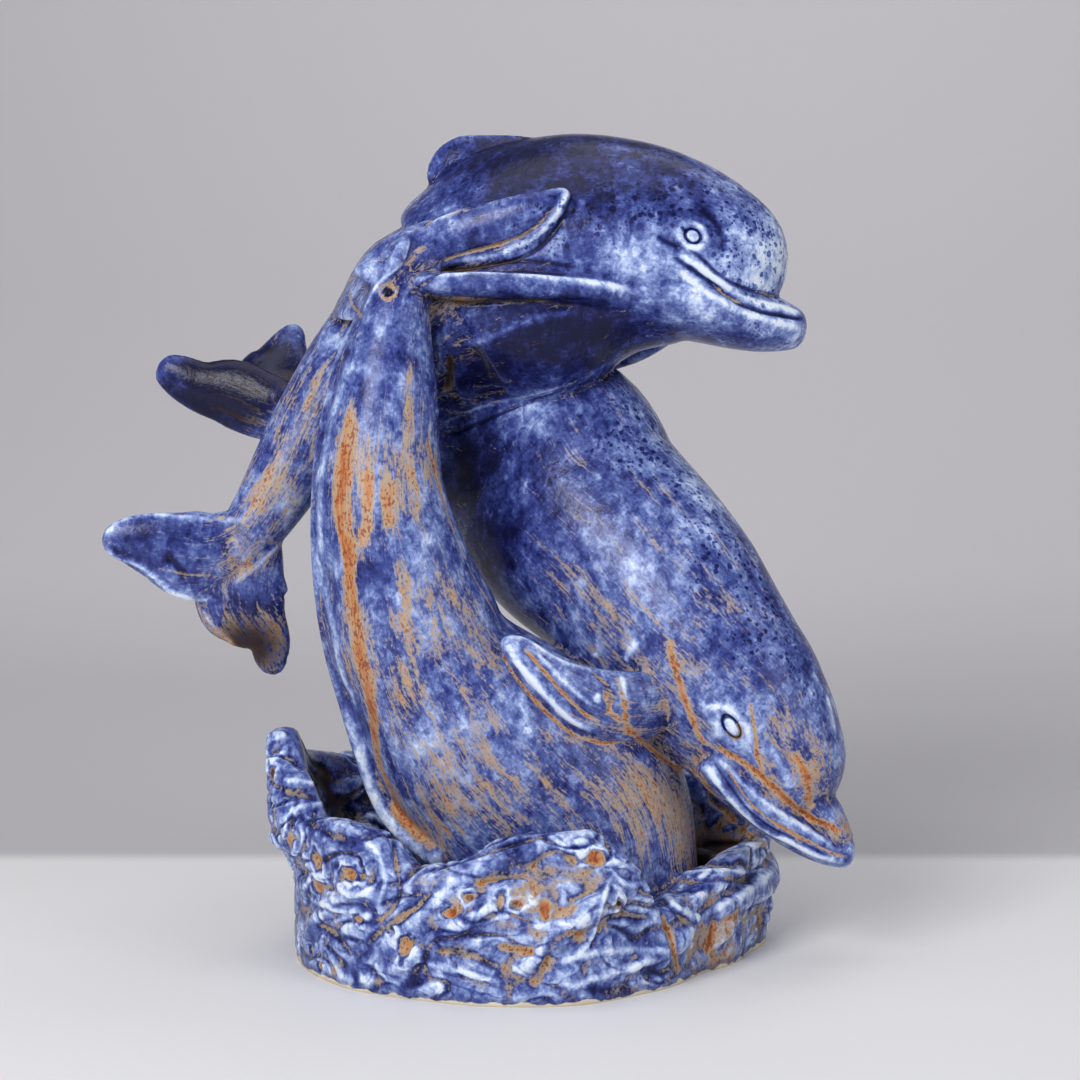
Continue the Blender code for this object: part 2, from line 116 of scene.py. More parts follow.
plunger = {
    "body": {
        "rows": [
            (132, -24, 71, 22, 21), (120, -21, 88, 28.5, 28), (111.5, -18, 99.3, 34.8, 31.5),
            (101.5, -15, 112.4, 39.2, 35), (91, -12, 127, 42.3, 37.5), (66.7, 3, 153.6, 51.3, 44),
            (47.5, 18, 177.5, 53.1, 46.5), (23.3, 34, 200, 57.1, 46.5), (4.3, 50, 224.2, 58.7, 43),
            (-28, 64, 234, 42.5, 35), (-57, 76, 242, 28, 27), (-85, 88, 244, 20, 20),
            (-108, 98, 245, 16, 15), (-123, 106, 250, 12, 13)],
        "up": (0.3, 0, 1), "ends": (22, 5)},
    "beak": {
        "rows": [
            (78, -21, 97.5, 9.6, 25), (86, -22.5, 90, 10.2, 24.5), (97, -24, 80.5, 10, 22),
            (112, -26, 69, 9.5, 18), (126, -28, 59.5, 8.7, 14.5), (137, -30, 54.5, 7.6, 11.5),
            (147.5, -31, 52.5, 6.6, 8)],
        "up": (0.5, 0, 1), "ends": (6, 5), "blunt": (2.0, 2.4)},
    "nose": {
        "rows": [
            (116, -22, 88, 12, 16), (125, -24.5, 79, 10.5, 14), (134.5, -27, 70, 8.5, 11.5),
            (141, -29, 61.5, 5.5, 8), (144.5, -30, 56.5, 4, 5)],
        "up": (0.5, 0, 1), "ends": (5, 3)},
    "near flipper": {
        "rows": [
            (60, -26, 122, 15, 9), (50, -34, 121, 17, 9.6), (38, -41, 122, 17, 9.4),
            (24, -46, 127, 14.6, 8.2), (10, -50, 136, 11.4, 7.2), (-2, -51, 146, 8, 6),
            (-13, -49, 154, 4, 4)],
        "up": (0.4, 0, 0.8)},
    "far flipper": {
        "rows": [
            (80, 22, 118, 14, 8), (62, 38, 108, 15, 8), (44, 50, 100, 12, 7), (28, 58, 96, 8, 5.6),
            (15, 62, 95, 4, 4)],
        "up": (0.4, 0, 0.8)},
    "near fluke": {
        "rows": [
            (-106, 97, 245, 13, 11), (-120, 102, 246, 15, 10), (-135, 106, 250, 17, 8.6),
            (-150, 108, 256, 17, 7.6), (-165, 108, 259, 13, 6.6), (-177, 108, 265, 10.5, 5.6),
            (-186, 108, 270.5, 6.5, 4.2)],
        "up": (0, 0, 1)},
    "far fluke": {
        "rows": [
            (-110, 99, 246, 12, 10), (-121, 107, 250, 15, 9), (-130.5, 117, 261, 18.5, 8),
            (-126, 126, 270, 15.5, 7), (-123.5, 136, 280, 9.5, 5.6), (-119.5, 142, 288.5, 4, 4)],
        "up": (-1, 0, 0.3)},
}

diver = {
    "body": {
        "rows": [
            (-57, -7, 319, 13, 11), (-61, -10, 302, 15.5, 15), (-65, -14, 281, 21, 18),
            (-67, -19, 259, 25, 20), (-69, -23, 236, 28, 22.5), (-69, -25, 217, 30.3, 25.5),
            (-66.5, -25, 199, 33, 28.5), (-62, -24, 180.5, 35.7, 31.5),
            (-56.6, -21.5, 159.5, 40.4, 36.5), (-47, -18, 137.5, 41.5, 42),
            (-28, -13.5, 110, 54, 47.5), (-11.5, -7, 89, 61.5, 51), (4, -1, 66, 69, 54),
            (10, 1, 38, 68, 55), (12, 2, 18, 66, 54), (12, 2, 0, 60, 50)],
        "up": (-1, 0, 0), "ends": (8, 5), "keel": 0.9},
    "keel": {
        "rows": [
            (-76, -11, 296, 3, 3), (-84, -14, 282, 3.2, 3.4), (-90, -19, 259, 3.4, 3.6),
            (-94.6, -23, 236, 3.4, 3.6), (-96.6, -25, 204, 3.4, 3.6), (-95.5, -24, 175, 3.4, 3.8),
            (-92, -20, 147, 3.4, 4), (-84.5, -16, 118, 3.6, 4.2), (-76, -13, 90, 4, 4.6),
            (-67, -15, 70, 4.6, 5), (-55, -24, 58, 4.6, 5), (-40, -37, 50, 4.4, 5)],
        "up": (-1, 0, 0), "ends": (3, 3)},
    "near fluke": {
        "rows": [
            (-66, -10, 304, 20, 12), (-59, -9, 315, 18, 12), (-50, -7, 324, 14.5, 10),
            (-36, -6.5, 331, 12, 7), (-18, -9.5, 336, 12, 5.6), (-1.5, -11.6, 341, 11.3, 5.2),
            (9.5, -11.2, 346.6, 8, 4.8), (17.5, -9.6, 352.5, 3.6, 3.6)],
        "up": (-0.4, 0, 1)},
    "far fluke": {
        "rows": [
            (-62, -12, 314, 20, 6), (-67, -4, 313, 22, 5), (-72.5, 6, 312, 22, 4.6),
            (-77.5, 18, 311.5, 21, 4.4), (-80.6, 36, 311, 19, 4.4), (-78, 54, 308, 16, 4.4),
            (-70, 66, 302, 11, 4.2), (-60, 73, 295, 4.4, 3.6)],
        "up": (0.62, 0, 0.78)},
    "fluke ridge": {
        "rows": [
            (-77, -12, 293, 3, 3), (-70.5, -18, 306, 3.2, 3.2), (-65.5, -20.5, 313.5, 3.2, 3.2),
            (-61.2, -20.5, 321, 3.2, 3.2), (-57.4, -17, 329, 3, 3), (-53.5, -11, 334.6, 2.6, 2.6)],
        "up": (-1, 0, 0)},
}

# The waves, by the angle around the foot in degrees: 0 is +X and -90 the front.
waves = {
    "radius": [
        (-180, 110), (-165, 109), (-143, 107), (-116, 100.5), (-82, 99), (-54, 92), (-31, 88.5),
        (-10, 98.5), (12, 113.5), (50, 107), (90, 99), (135, 104)],
    "flare": [
        (-180, 12.5), (-150, 3), (-116, -8), (-90, -19), (-54, -6), (-31, 3), (-10, 20), (14, 17), (50, 8), (90, -3), (135, 5)],
    "height": [
        (-177, 107), (-168, 91), (-159, 72), (-145, 74), (-136, 72), (-124, 57), (-112, 60),
        (-95, 71), (-70, 73), (-60, 60), (-50, 36), (-34, 39), (-22, 46), (-8, 50), (8, 51),
        (22, 61), (36, 71), (62, 74), (90, 70), (125, 76), (150, 84), (165, 89)],
    "flareFrom": 44, "flareTo": 66, "sunk": 4, "thick": 15, "lip": 3.5,
    "poolFloor": 31, "poolSlope": 22, "steps": 240, "rings": 24, "poolRings": 12,
    # rolls of clay: first and last angle, heights there as shares of the wall, half thickness,
    # how far in
    "rolls": [
        (-121, -57, 0.93, 0.93, 8.5, 4.7), (-52, 18, 0.93, 0.9, 5.5, 3), (-178, -150, 0.97, 0.72, 6.5, 3.6),
        (-172, -140, 0.42, 0.78, 5, 2.8), (-25, 55, 0.68, 0.66, 9, 2), (18, 80, 0.92, 0.9, 5.5, 3),
        (80, 175, 0.92, 0.94, 6, 3.3)],
    "curls": 11, "curlSweep": 44, "curlLow": 0.16, "curlHigh": 0.66, "curlThick": 5.8,
    "ledges": [(95, 178, 50, 6), (110, 176, 68, 5.5), (-30, 50, 33, 4.5)],
}

clay = {
    "grain": 1.3,  # spacing of the joined surface, before the fine carving
    "sides": 56, "rings": 80, "finSides": 32, "finRings": 40, "capRings": 8,
    "mostTriangles": 190000,
    "frontKept": 8e-6,  # how much more the front keeps when the surface is thinned
}


def smoothRows(rows):
    # a smooth curve through rows of numbers, by the distance along its first three
    rows = np.array(rows, float)
    keys = np.concatenate(([0], np.cumsum(np.linalg.norm(np.diff(rows[:, :3], axis=0), axis=1))))
    slopes = np.empty_like(rows)
    for i in range(len(rows)):
        a, b = max(i - 1, 0), min(i + 1, len(rows) - 1)
        slopes[i] = (rows[b] - rows[a]) / (keys[b] - keys[a])

    def at(distance):
        distance = min(max(distance, 0.0), keys[-1])
        i = min(max(int(np.searchsorted(keys, distance)) - 1, 0), len(rows) - 2)
        span = keys[i + 1] - keys[i]
        t = (distance - keys[i]) / span
        return ((2 * t**3 - 3 * t * t + 1) * rows[i] + (t**3 - 2 * t * t + t) * span * slopes[i]
                + (-2 * t**3 + 3 * t * t) * rows[i + 1] + (t**3 - t * t) * span * slopes[i + 1])

    return at, keys[-1]


def ringPlaces(total, ends, rings):
    cap = clay["capRings"]
    places = [ends[0] * (1 - math.cos(0.5 * math.pi * k / cap)) for k in range(cap + 1)]
    middle = total - ends[0] - ends[1]
    places += [ends[0] + middle * k / rings for k in range(1, rings)]
    places += [total - ends[1] * (1 - math.cos(0.5 * math.pi * k / cap)) for k in range(cap, -1, -1)]
    return places


def roundEnd(distance, length, blunt):
    share = min(distance / length, 1.0)
    return (1 - (1 - share) ** blunt) ** (1 / blunt)


def bridge(bm, rings):
    for ring, following in zip(rings, rings[1:]):
        for j in range(max(len(ring), len(following))):
            corners = []
            for vert in (ring[j % len(ring)], ring[(j + 1) % len(ring)],
                         following[(j + 1) % len(following)], following[j % len(following)]):
                if vert not in corners:
                    corners.append(vert)
            bm.faces.new(corners)


def loft(bm, form, rings=clay["finRings"], sides=clay["finSides"]):
    # one closed form of rounded sections; a keel pinches the sections to an edge
    at, total = smoothRows(form["rows"])
    ends = form.get("ends", (5, 4))
    blunt = form.get("blunt", (2.0, 2.0))
    keel = form.get("keel", 0.0)
    up = Vector(form["up"])
    loops = []
    places = ringPlaces(total, ends, rings)
    for number, place in enumerate(places):
        x, y, z, halfHeight, halfWidth = (float(value) for value in at(place))
        middle = Vector((x, y, z))
        if number in (0, len(places) - 1):
            loops.append([bm.verts.new(middle * mm)])
            continue
        along = Vector(at(place + 1.5)[:3] - at(place - 1.5)[:3]).normalized()
        top = (up - along * up.dot(along)).normalized()
        side = along.cross(top)
        size = roundEnd(place, ends[0], blunt[0]) * roundEnd(total - place, ends[1], blunt[1])
        loop = []
        for j in range(sides):
            turn = 2 * math.pi * j / sides
            rise, spread = math.cos(turn), math.sin(turn)
            pinch = abs(spread) ** (keel * rise * rise) if rise > 0 and spread else 1.0
            offset = top * halfHeight * rise + side * halfWidth * spread * pinch
            loop.append(bm.verts.new((middle + offset * size) * mm))
        loops.append(loop)
    bridge(bm, loops)


def around(table, angle):
    first = table[0][0]
    angle = (angle - first) % 360 + first
    entries = table + [(first + 360, table[0][1])]
    for (start, value), (end, following) in zip(entries, entries[1:]):
        if start <= angle <= end:
            t = (angle - start) / (end - start)
            return value + (following - value) * t * t * (3 - 2 * t)
    return entries[-1][1]


def wallPoint(angle, height, outwards=0.0):
    t = (height - waves["flareFrom"]) / (waves["flareTo"] - waves["flareFrom"])
    t = min(max(t, 0.0), 1.0)
    radius = around(waves["radius"], angle) + around(waves["flare"], angle) * t * t * (3 - 2 * t)
    turn = math.radians(angle)
    return (radius + outwards) * math.cos(turn), (radius + outwards) * math.sin(turn), height


def roll(bm, places, thickness):
    rows = []
    for index, place in enumerate(places):
        swell = 0.45 + 0.55 * math.sin(math.pi * (index + 0.5) / len(places))
        rows.append((*place, thickness * swell, thickness * swell))
    loft(bm, {"rows": rows, "up": (0, 0, 1)}, rings=40, sides=20)


def buildWaves(bm):
    sunk, lip, thick = waves["sunk"], waves["lip"], waves["thick"]
    columns = []
    for j in range(waves["steps"]):
        angle = 360 * j / waves["steps"]
        top = around(waves["height"], angle)
        places = []
        for k in range(waves["rings"] + 1):
            places.append(wallPoint(angle, -sunk + (top - lip + sunk) * k / waves["rings"]))
        places.append(wallPoint(angle, top, -lip))
        for k in range(waves["poolRings"] + 1):
            share = k / waves["poolRings"]
            x, y, _ = wallPoint(angle, top, lip - thick - waves["poolSlope"] * share)
            drop = (top - 1 - waves["poolFloor"]) * share * share * (3 - 2 * share)
            places.append((x, y, top - 1 - drop))
        columns.append([bm.verts.new(Vector(place) * mm) for place in places])
    loops = [list(loop) for loop in zip(*columns)]
    bridge(bm, loops)
    bm.faces.new(list(reversed(loops[0])))
    bm.faces.new(loops[-1])
    for first, last, low, high, thickness, inwards in waves["rolls"]:
        places = []
        for k in range(9):
            angle = first + (last - first) * k / 8
            height = around(waves["height"], angle) * (low + (high - low) * k / 8) - 0.4 * thickness
            places.append(wallPoint(angle, height, -inwards))
        roll(bm, places, thickness)
    for number in range(waves["curls"]):
        start = 360 * number / waves["curls"] - 96
        places = []
        for k in range(10):
            t = k / 9
            angle = start + waves["curlSweep"] * (t - 0.35 * t**4)
            climb = math.sin(0.5 * math.pi * min(1.25 * t, 1.0)) - 0.9 * max(t - 0.75, 0.0)
            share = waves["curlLow"] + (waves["curlHigh"] - waves["curlLow"]) * climb
            places.append(wallPoint(angle, around(waves["height"], angle) * share, -1.5))
        roll(bm, places, waves["curlThick"])
    for first, last, height, thickness in waves["ledges"]:
        places = []
        for k in range(8):
            angle = first + (last - first) * k / 7
            inwards = -thick - 4 + 2 * math.sin(2.2 * k)
            places.append(wallPoint(angle, height + 2 * math.sin(1.7 * k), inwards))
        roll(bm, places, thickness)


def evaluatedMesh(item):
    graph = bpy.context.evaluated_depsgraph_get()
    graph.update()
    mesh = bpy.data.meshes.new_from_object(item.evaluated_get(graph))
    return mesh


def joinClay():
    # every form overlaps its neighbours, and a remesh joins them as pressed clay
    bm = bmesh.new()
    for dolphin in (leaper, plunger, diver):
        for name, form in dolphin.items():
            if name == "body":
                loft(bm, form, clay["rings"], clay["sides"])
            else:
                loft(bm, form)
    buildWaves(bm)
    bmesh.ops.recalc_face_normals(bm, faces=bm.faces)
    mesh = bpy.data.meshes.new("pressed forms")
    bm.to_mesh(mesh)
    bm.free()
    item = bpy.data.objects.new("pressed forms", mesh)
    bpy.context.scene.collection.objects.link(item)
    joined = item.modifiers.new("joined", "REMESH")
    joined.mode = "VOXEL"
    joined.voxel_size = clay["grain"] * mm
    result = evaluatedMesh(item)
    bpy.data.objects.remove(item)
    return result


joined = joinClay()
print("clay joined:", len(joined.vertices), "points")


# ---- marks in the clay, drawn where they are seen from the front and laid on the surface

def surfaceTree(mesh):
    return BVHTree.FromPolygons(
        [v.co.copy() for v in mesh.vertices], [tuple(p.vertices) for p in mesh.polygons])


def seen(tree, u, v):
    # the place on the surface that shows at (u, v) in the view
    focal = view["lens"] / view["sensor"] * view["frameSize"]
    tilt = math.radians(view["lookDown"])
    across, down = (u - 540) / focal, (v - 540) / focal
    ray = Vector((across, math.cos(tilt) - down * math.sin(tilt), -math.sin(tilt) - down * math.cos(tilt)))
    return tree.ray_cast(Vector(view["stand"]), ray.normalized())[0]


def seenLine(tree, places, step=3.0):
    # a smooth line through the seen places, laid on the surface
    at, total = smoothRows([(u, v, 0) for u, v in places])
    count = max(int(total / step), 2)
    points = []
    for k in range(count + 1):
        u, v, _ = at(total * k / count)
        point = seen(tree, u, v)
        if point is None:
            continue
        if points and (point - points[-1]).length > 9 * mm:
            continue
        points.append(point)
    return np.array([tuple(p) for p in points])


def nearLine(points, line, reach):
    # which points lie near a line, how far from it and how far along it
    low, high = line.min(0) - reach, line.max(0) + reach
    near = np.flatnonzero(((points > low) & (points < high)).all(1))
    cloud = points[near]
    best = np.full(len(near), 9.0)
    along = np.zeros(len(near))
    lengths = np.linalg.norm(np.diff(line, axis=0), axis=1)
    done = 0.0
    for start, end, length in zip(line[:-1], line[1:], lengths):
        if length < 1e-7:
            continue
        share = np.clip((cloud - start) @ (end - start) / length**2, 0, 1)
        gap = np.linalg.norm(cloud - start - share[:, None] * (end - start), axis=1)
        closer = gap < best
        best[closer] = gap[closer]
        along[closer] = done + share[closer] * length
        done += length
    keep = best < reach
    return near[keep], best[keep], along[keep] / max(done, 1e-6)


# ---- the surface as plain arrays, in metres

def pointsOf(mesh):
    flat = np.empty(len(mesh.vertices) * 3, np.float32)
    mesh.vertices.foreach_get("co", flat)
    return flat.reshape(-1, 3).astype(float)


def normalsOf(mesh):
    mesh.update()
    flat = np.empty(len(mesh.vertices) * 3, np.float32)
    mesh.vertex_normals.foreach_get("vector", flat)
    return flat.reshape(-1, 3).astype(float)


def setPoints(mesh, points):
    mesh.vertices.foreach_set("co", points.astype(np.float32).ravel())
    mesh.update()


def edgesOf(mesh):
    flat = np.empty(len(mesh.edges) * 2, np.int32)
    mesh.edges.foreach_get("vertices", flat)
    return flat.reshape(-1, 2)


def neighbourMean(values, pairs, counts):
    total = np.empty_like(values)
    for column in range(values.shape[1]):
        total[:, column] = (
            np.bincount(pairs[:, 0], values[pairs[:, 1], column], len(values))
            + np.bincount(pairs[:, 1], values[pairs[:, 0], column], len(values)))
    return total / counts[:, None]


def softened(values, pairs, times, keepSize=False):
    # evens out neighbouring values; keepSize pushes back so that forms don't shrink
    counts = np.bincount(pairs.ravel(), minlength=len(values)).astype(float)
    flat = values.ndim == 1
    values = values[:, None].copy() if flat else values.copy()
    for _ in range(times):
        values += 0.5 * (neighbourMean(values, pairs, counts) - values)
        if keepSize:
            values -= 0.53 * (neighbourMean(values, pairs, counts) - values)
    return values[:, 0] if flat else values


def ripples(points, size, shift):
    # smooth noise of about -1 to 1 with lumps of the given size in millimetres
    cloud = points / (size * mm) + np.array([3.1, 7.7, 1.3]) * shift
    return np.array([noise.noise(place) for place in cloud.tolist()])


def eased(values, low, high):
    t = np.clip((values - low) / (high - low), 0, 1)
    return t * t * (3 - 2 * t)


# What is modelled into each dolphin. A mark is a seen line with its half width, how far
# it stands out (or is cut in, below 0), and how pale and how rusty it makes the glaze; the
# paleness of the melon's front line is a painted highlight.

leaperMarks = {
    "eye": {"seen": (692.8, 235.9), "far": (72.5, 333.5), "long": 3.8, "high": 3.2, "turn": 35,
            "ball": (3.0, 2.4), "rust": 0.0, "lids": 0.85},
    "lines": {
        "mouth": (1.3, -1.6, -1.2, 0.0, [
            (674, 257), (688, 267), (704, 278), (722, 291), (740, 303), (761, 311), (782, 315), (803, 319)]),
        "mouth rust": (0.9, 0.0, 0.4, 0.8, [(712, 284), (722, 291), (733, 298), (744, 303)]),
        "eye corner": (0.8, -0.8, -1.2, 0.0, [(681, 227), (687, 232)]),
        "upper lip": (2.3, 0.9, 1.0, -0.2, [
            (680, 255), (697, 266), (713, 278), (729, 289), (748, 299), (766, 304), (784, 308), (801, 314)]),
        "lip crease": (1.1, -1.0, -1.0, 0.1, [
            (690, 250), (701, 258), (712, 269), (725, 279), (740, 287), (753, 291), (766, 294), (779, 298)]),
        "crease rust": (0.9, 0.0, 0.3, 0.7, [(755, 291), (766, 294), (776, 297)]),
        "lower lip": (2.2, 0.7, 0.7, -0.1, [
            (672, 266), (690, 280), (712, 296), (735, 309), (762, 319), (785, 324), (801, 329)]),
        "brow": (2.4, -0.7, -1.1, 0.0, [(700, 209), (715, 221), (723, 238), (722, 253)]),
        "cheek fold": (1.6, -0.5, -1.0, 0.0, [(680, 247), (668, 243), (657, 236)]),
        "flipper top": (2.4, 0.9, 0.9, -0.1, [
            (416, 281), (432, 277), (455, 275), (480, 274), (510, 275), (550, 278), (600, 284), (640, 292)]),
        "flipper over": (1.5, -0.9, -0.8, 0.1, [(440, 270), (470, 267), (500, 262), (540, 262), (580, 268)]),
        "flipper under": (1.6, -1.0, -0.9, 0.2, [
            (422, 291), (440, 299), (462, 302), (500, 301), (545, 300), (590, 300)]),
        "belly crease": (1.3, -0.8, -0.6, 0.0, [
            (443, 436), (475, 425), (520, 405), (560, 392), (600, 378), (640, 358)]),
        "belly ridge": (1.8, 0.6, 0.7, 0.0, [
            (435, 412), (479, 395), (527, 384), (560, 376), (590, 367)]),
        "second ridge": (1.4, 0.5, 0.5, 0.2, [(440, 424), (482, 407), (530, 395), (575, 383)]),
        "chest ridge": (2.6, 0.8, 0.6, 0.0, [(460, 345), (483, 341), (510, 328), (540, 317), (575, 312)]),
        "tail keel": (1.8, 0.8, 0.6, 0.3, [(309, 519), (290, 535), (268, 556), (250, 572), (233, 584)]),
        "fluke edge": (2.2, 0.9, 1.0, 0.0, [
            (101, 545), (115, 556), (140, 566), (158, 580), (172, 592), (196, 600), (215, 597)]),
        "fluke top edge": (2.0, 0.5, 0.7, 0.0, [
            (104, 535), (125, 520), (150, 515), (185, 517), (215, 520), (250, 519)]),
        "fluke dent": (2.2, -0.8, -0.8, 0.0, [(165, 556), (178, 566), (186, 580)]),
        "far fluke edge": (1.8, 0.8, 0.8, 0.2, [(200, 606), (215, 628), (235, 645), (255, 662), (268, 674)]),
    },
}

plungerMarks = {
    "eye": {"seen": (731.4, 726.8), "far": (88.6, 113.8), "long": 6.0, "high": 3.2, "turn": 56.5,
            "ball": (4.8, 2.4), "rust": 0.7, "lids": 0.6},
    "lines": {
        "mouth": (1.2, -1.3, 0.1, 0.9, [
            (721, 761), (735, 780), (752, 805), (772, 822), (792, 833), (814, 844), (834, 854), (848, 857)]),
        "mouth side": (0.8, -0.4, -0.9, 0.0, [
            (715, 764), (730, 786), (748, 810), (770, 827), (792, 838), (814, 849), (832, 858)]),
        "upper lip": (2.2, 0.8, 1.0, -0.4, [
            (712, 753), (727, 768), (748, 788), (770, 806), (792, 820), (814, 834), (834, 845)]),
        "lower lip": (2.0, 0.8, 0.95, -0.4, [
            (705, 764), (719, 785), (742, 812), (768, 832), (792, 843), (814, 854), (836, 861)]),
        "lip edge": (2.0, -0.7, -0.2, 1.3, [
            (713, 746), (736, 758), (758, 774), (772, 786), (792, 805), (814, 819), (842, 833)]),
        "below the lip": (1.2, -0.8, -0.9, 0.2, [
            (699, 770), (714, 795), (738, 822), (765, 841), (790, 852), (812, 863)]),
        "cheek": (1.9, 0.2, 0.2, 1.2, [(668, 640), (673, 660), (682, 690), (691, 716), (701, 738), (714, 747)]),
        "jaw run": (1.8, -0.3, 0.0, 1.0, [(616, 677), (624, 700), (628, 728), (644, 743), (675, 767), (708, 792)]),
        "under the beak": (1.5, -0.3, 0.0, 0.9, [(716, 803), (745, 831), (775, 850), (806, 864), (822, 863)]),
        "behind the eye": (1.8, 0.3, 0.55, -0.3, [
            (696, 693), (706, 706), (718, 706), (736, 714), (748, 730), (754, 752)]),
        "before the eye": (1.6, 0.2, 0.5, -0.3, [(703, 708), (713, 726), (726, 744), (742, 755)]),
        "eye run": (1.3, 0.0, 0.1, 1.1, [(750, 700), (755, 732), (758, 760), (764, 774)]),
        "nose run": (2.2, 0.0, 0.1, 1.1, [(795, 750), (806, 776), (811, 812)]),
        "nose pale": (2.4, 0.4, 0.5, -0.4, [(770, 744), (780, 764), (792, 790)]),
        # painted highlight: this line makes the melon's front edge pale where the lamp's reflection runs along it, on
        # a slightly raised line
        "painted melon highlight": (2.2, 0.3, 0.7, -0.3, [(812, 672), (828, 700), (836, 735)]),
        "neck drop": (2.4, 0.6, 0.8, -0.2, [(625, 662), (630, 652), (636, 640)]),
        "lower drop": (2.4, 0.6, 0.8, -0.2, [(621, 676), (624, 690), (624, 704)]),
        "side drop": (2.6, 0.7, 0.9, -0.2, [(594, 652), (597, 658)]),
        "front drop": (2.2, 0.6, 0.8, -0.2, [(597, 694), (598, 702)]),
        "drop run": (1.4, 0.0, 0.1, 0.9, [(604, 690), (611, 712), (622, 724)]),
        "throat": (1.8, -0.4, 0.0, 0.8, [(682, 763), (696, 774), (712, 794)]),
        "flipper bead": (2.4, 1.0, 0.95, -0.5, [
            (508, 644), (517, 662), (532, 680), (552, 702), (570, 719), (592, 731)]),
        "flipper edge": (1.0, -0.3, -0.2, 1.0, [
            (500, 648), (509, 667), (522, 686), (548, 714), (575, 735), (603, 743), (628, 741)]),
        "flipper crease": (1.3, -1.1, -0.2, 1.0, [
            (522, 646), (538, 664), (558, 688), (581, 711), (601, 723)]),
        "flipper inner": (1.5, 0.5, 0.9, 0.0, [(536, 652), (555, 672), (575, 692), (592, 706)]),
        "flipper top edge": (1.5, 0.7, 0.8, 0.0, [
            (507, 637), (525, 639), (545, 652), (568, 664), (592, 670)]),
        "flipper fold": (1.4, -0.7, -0.7, 0.3, [(592, 672), (606, 684), (612, 700), (606, 716)]),
    },
}

diverMarks = {
    "lines": {
        "keel": (4.6, 0.4, 0.6, -0.7, [
            (354, 345), (341, 389), (329, 429), (322, 470), (320, 510), (320, 548), (322, 582), (331, 615),
            (337, 649), (346, 683), (353, 700), (361, 760), (369, 790), (385, 820), (415, 850), (436, 866)]),
        "main run": (5.2, -0.5, 0.0, 1.15, [
            (353, 389), (349, 429), (344, 463), (342, 497), (344, 531), (349, 558), (349, 585), (353, 609),
            (356, 632), (361, 659), (368, 683), (370, 700), (378, 760), (390, 790), (405, 820), (432, 850)]),
        "run spur": (3.4, -0.2, 0.1, 0.7, [(366, 470), (368, 497), (366, 525), (362, 548)]),
        "run shoulder": (3.0, -0.1, 0.1, 0.5, [(392, 480), (390, 505), (388, 530)]),
        "second run": (3.2, 0.0, 0.0, 0.55, [(410, 355), (408, 395), (410, 422), (408, 449), (412, 490)]),
        "third run": (3.2, 0.0, 0.0, 0.4, [(398, 558), (402, 585), (405, 612), (402, 632)]),
        "edge run": (1.0, -0.2, 0.1, 0.7, [
            (429, 420), (430, 449), (442, 497), (456, 537), (476, 581), (498, 617)]),
        "fluke bead": (2.2, 0.9, 1.1, -0.2, [
            (449, 261), (470, 259), (499, 253), (520, 245), (537, 235), (550, 222), (560, 207), (566, 192),
            (558, 188)]),
        "fluke upper bead": (1.4, 0.6, 0.6, 0.2, [
            (428, 224), (447, 216), (478, 205), (515, 196), (540, 190), (560, 187)]),
        "fluke crease": (1.3, -1.0, -0.7, 0.6, [
            (440, 262), (470, 252), (500, 244), (525, 234), (543, 220), (553, 205)]),
        "fluke under": (1.2, -1.1, -1.0, 0.4, [
            (430, 272), (460, 270), (500, 264), (530, 253), (550, 237), (565, 215), (573, 195)]),
        "fluke over": (1.0, -1.0, -0.8, 0.6, [
            (424, 226), (445, 213), (475, 201), (505, 194), (540, 184), (562, 181)]),
        "fluke fold": (1.4, -0.8, -0.7, 0.1, [(405, 300), (418, 288), (436, 276), (452, 268)]),
        "shoulder": (1.0, 0.4, 0.7, 0.0, [(361, 317), (378, 284), (402, 263), (410, 238)]),
        "far fluke crease": (1.5, -0.7, -0.2, 0.7, [(348, 292), (352, 305), (362, 317)]),
        "slot": (2.0, -1.8, -0.8, 0.7, [(449, 354), (450, 372), (447, 392)]),
        "slot side": (1.4, 0.3, 0.5, 0.0, [(437, 330), (440, 360), (436, 395)]),
    },
    "pit": {"seen": (388, 292), "wide": 1.8, "deep": 2.6},
}

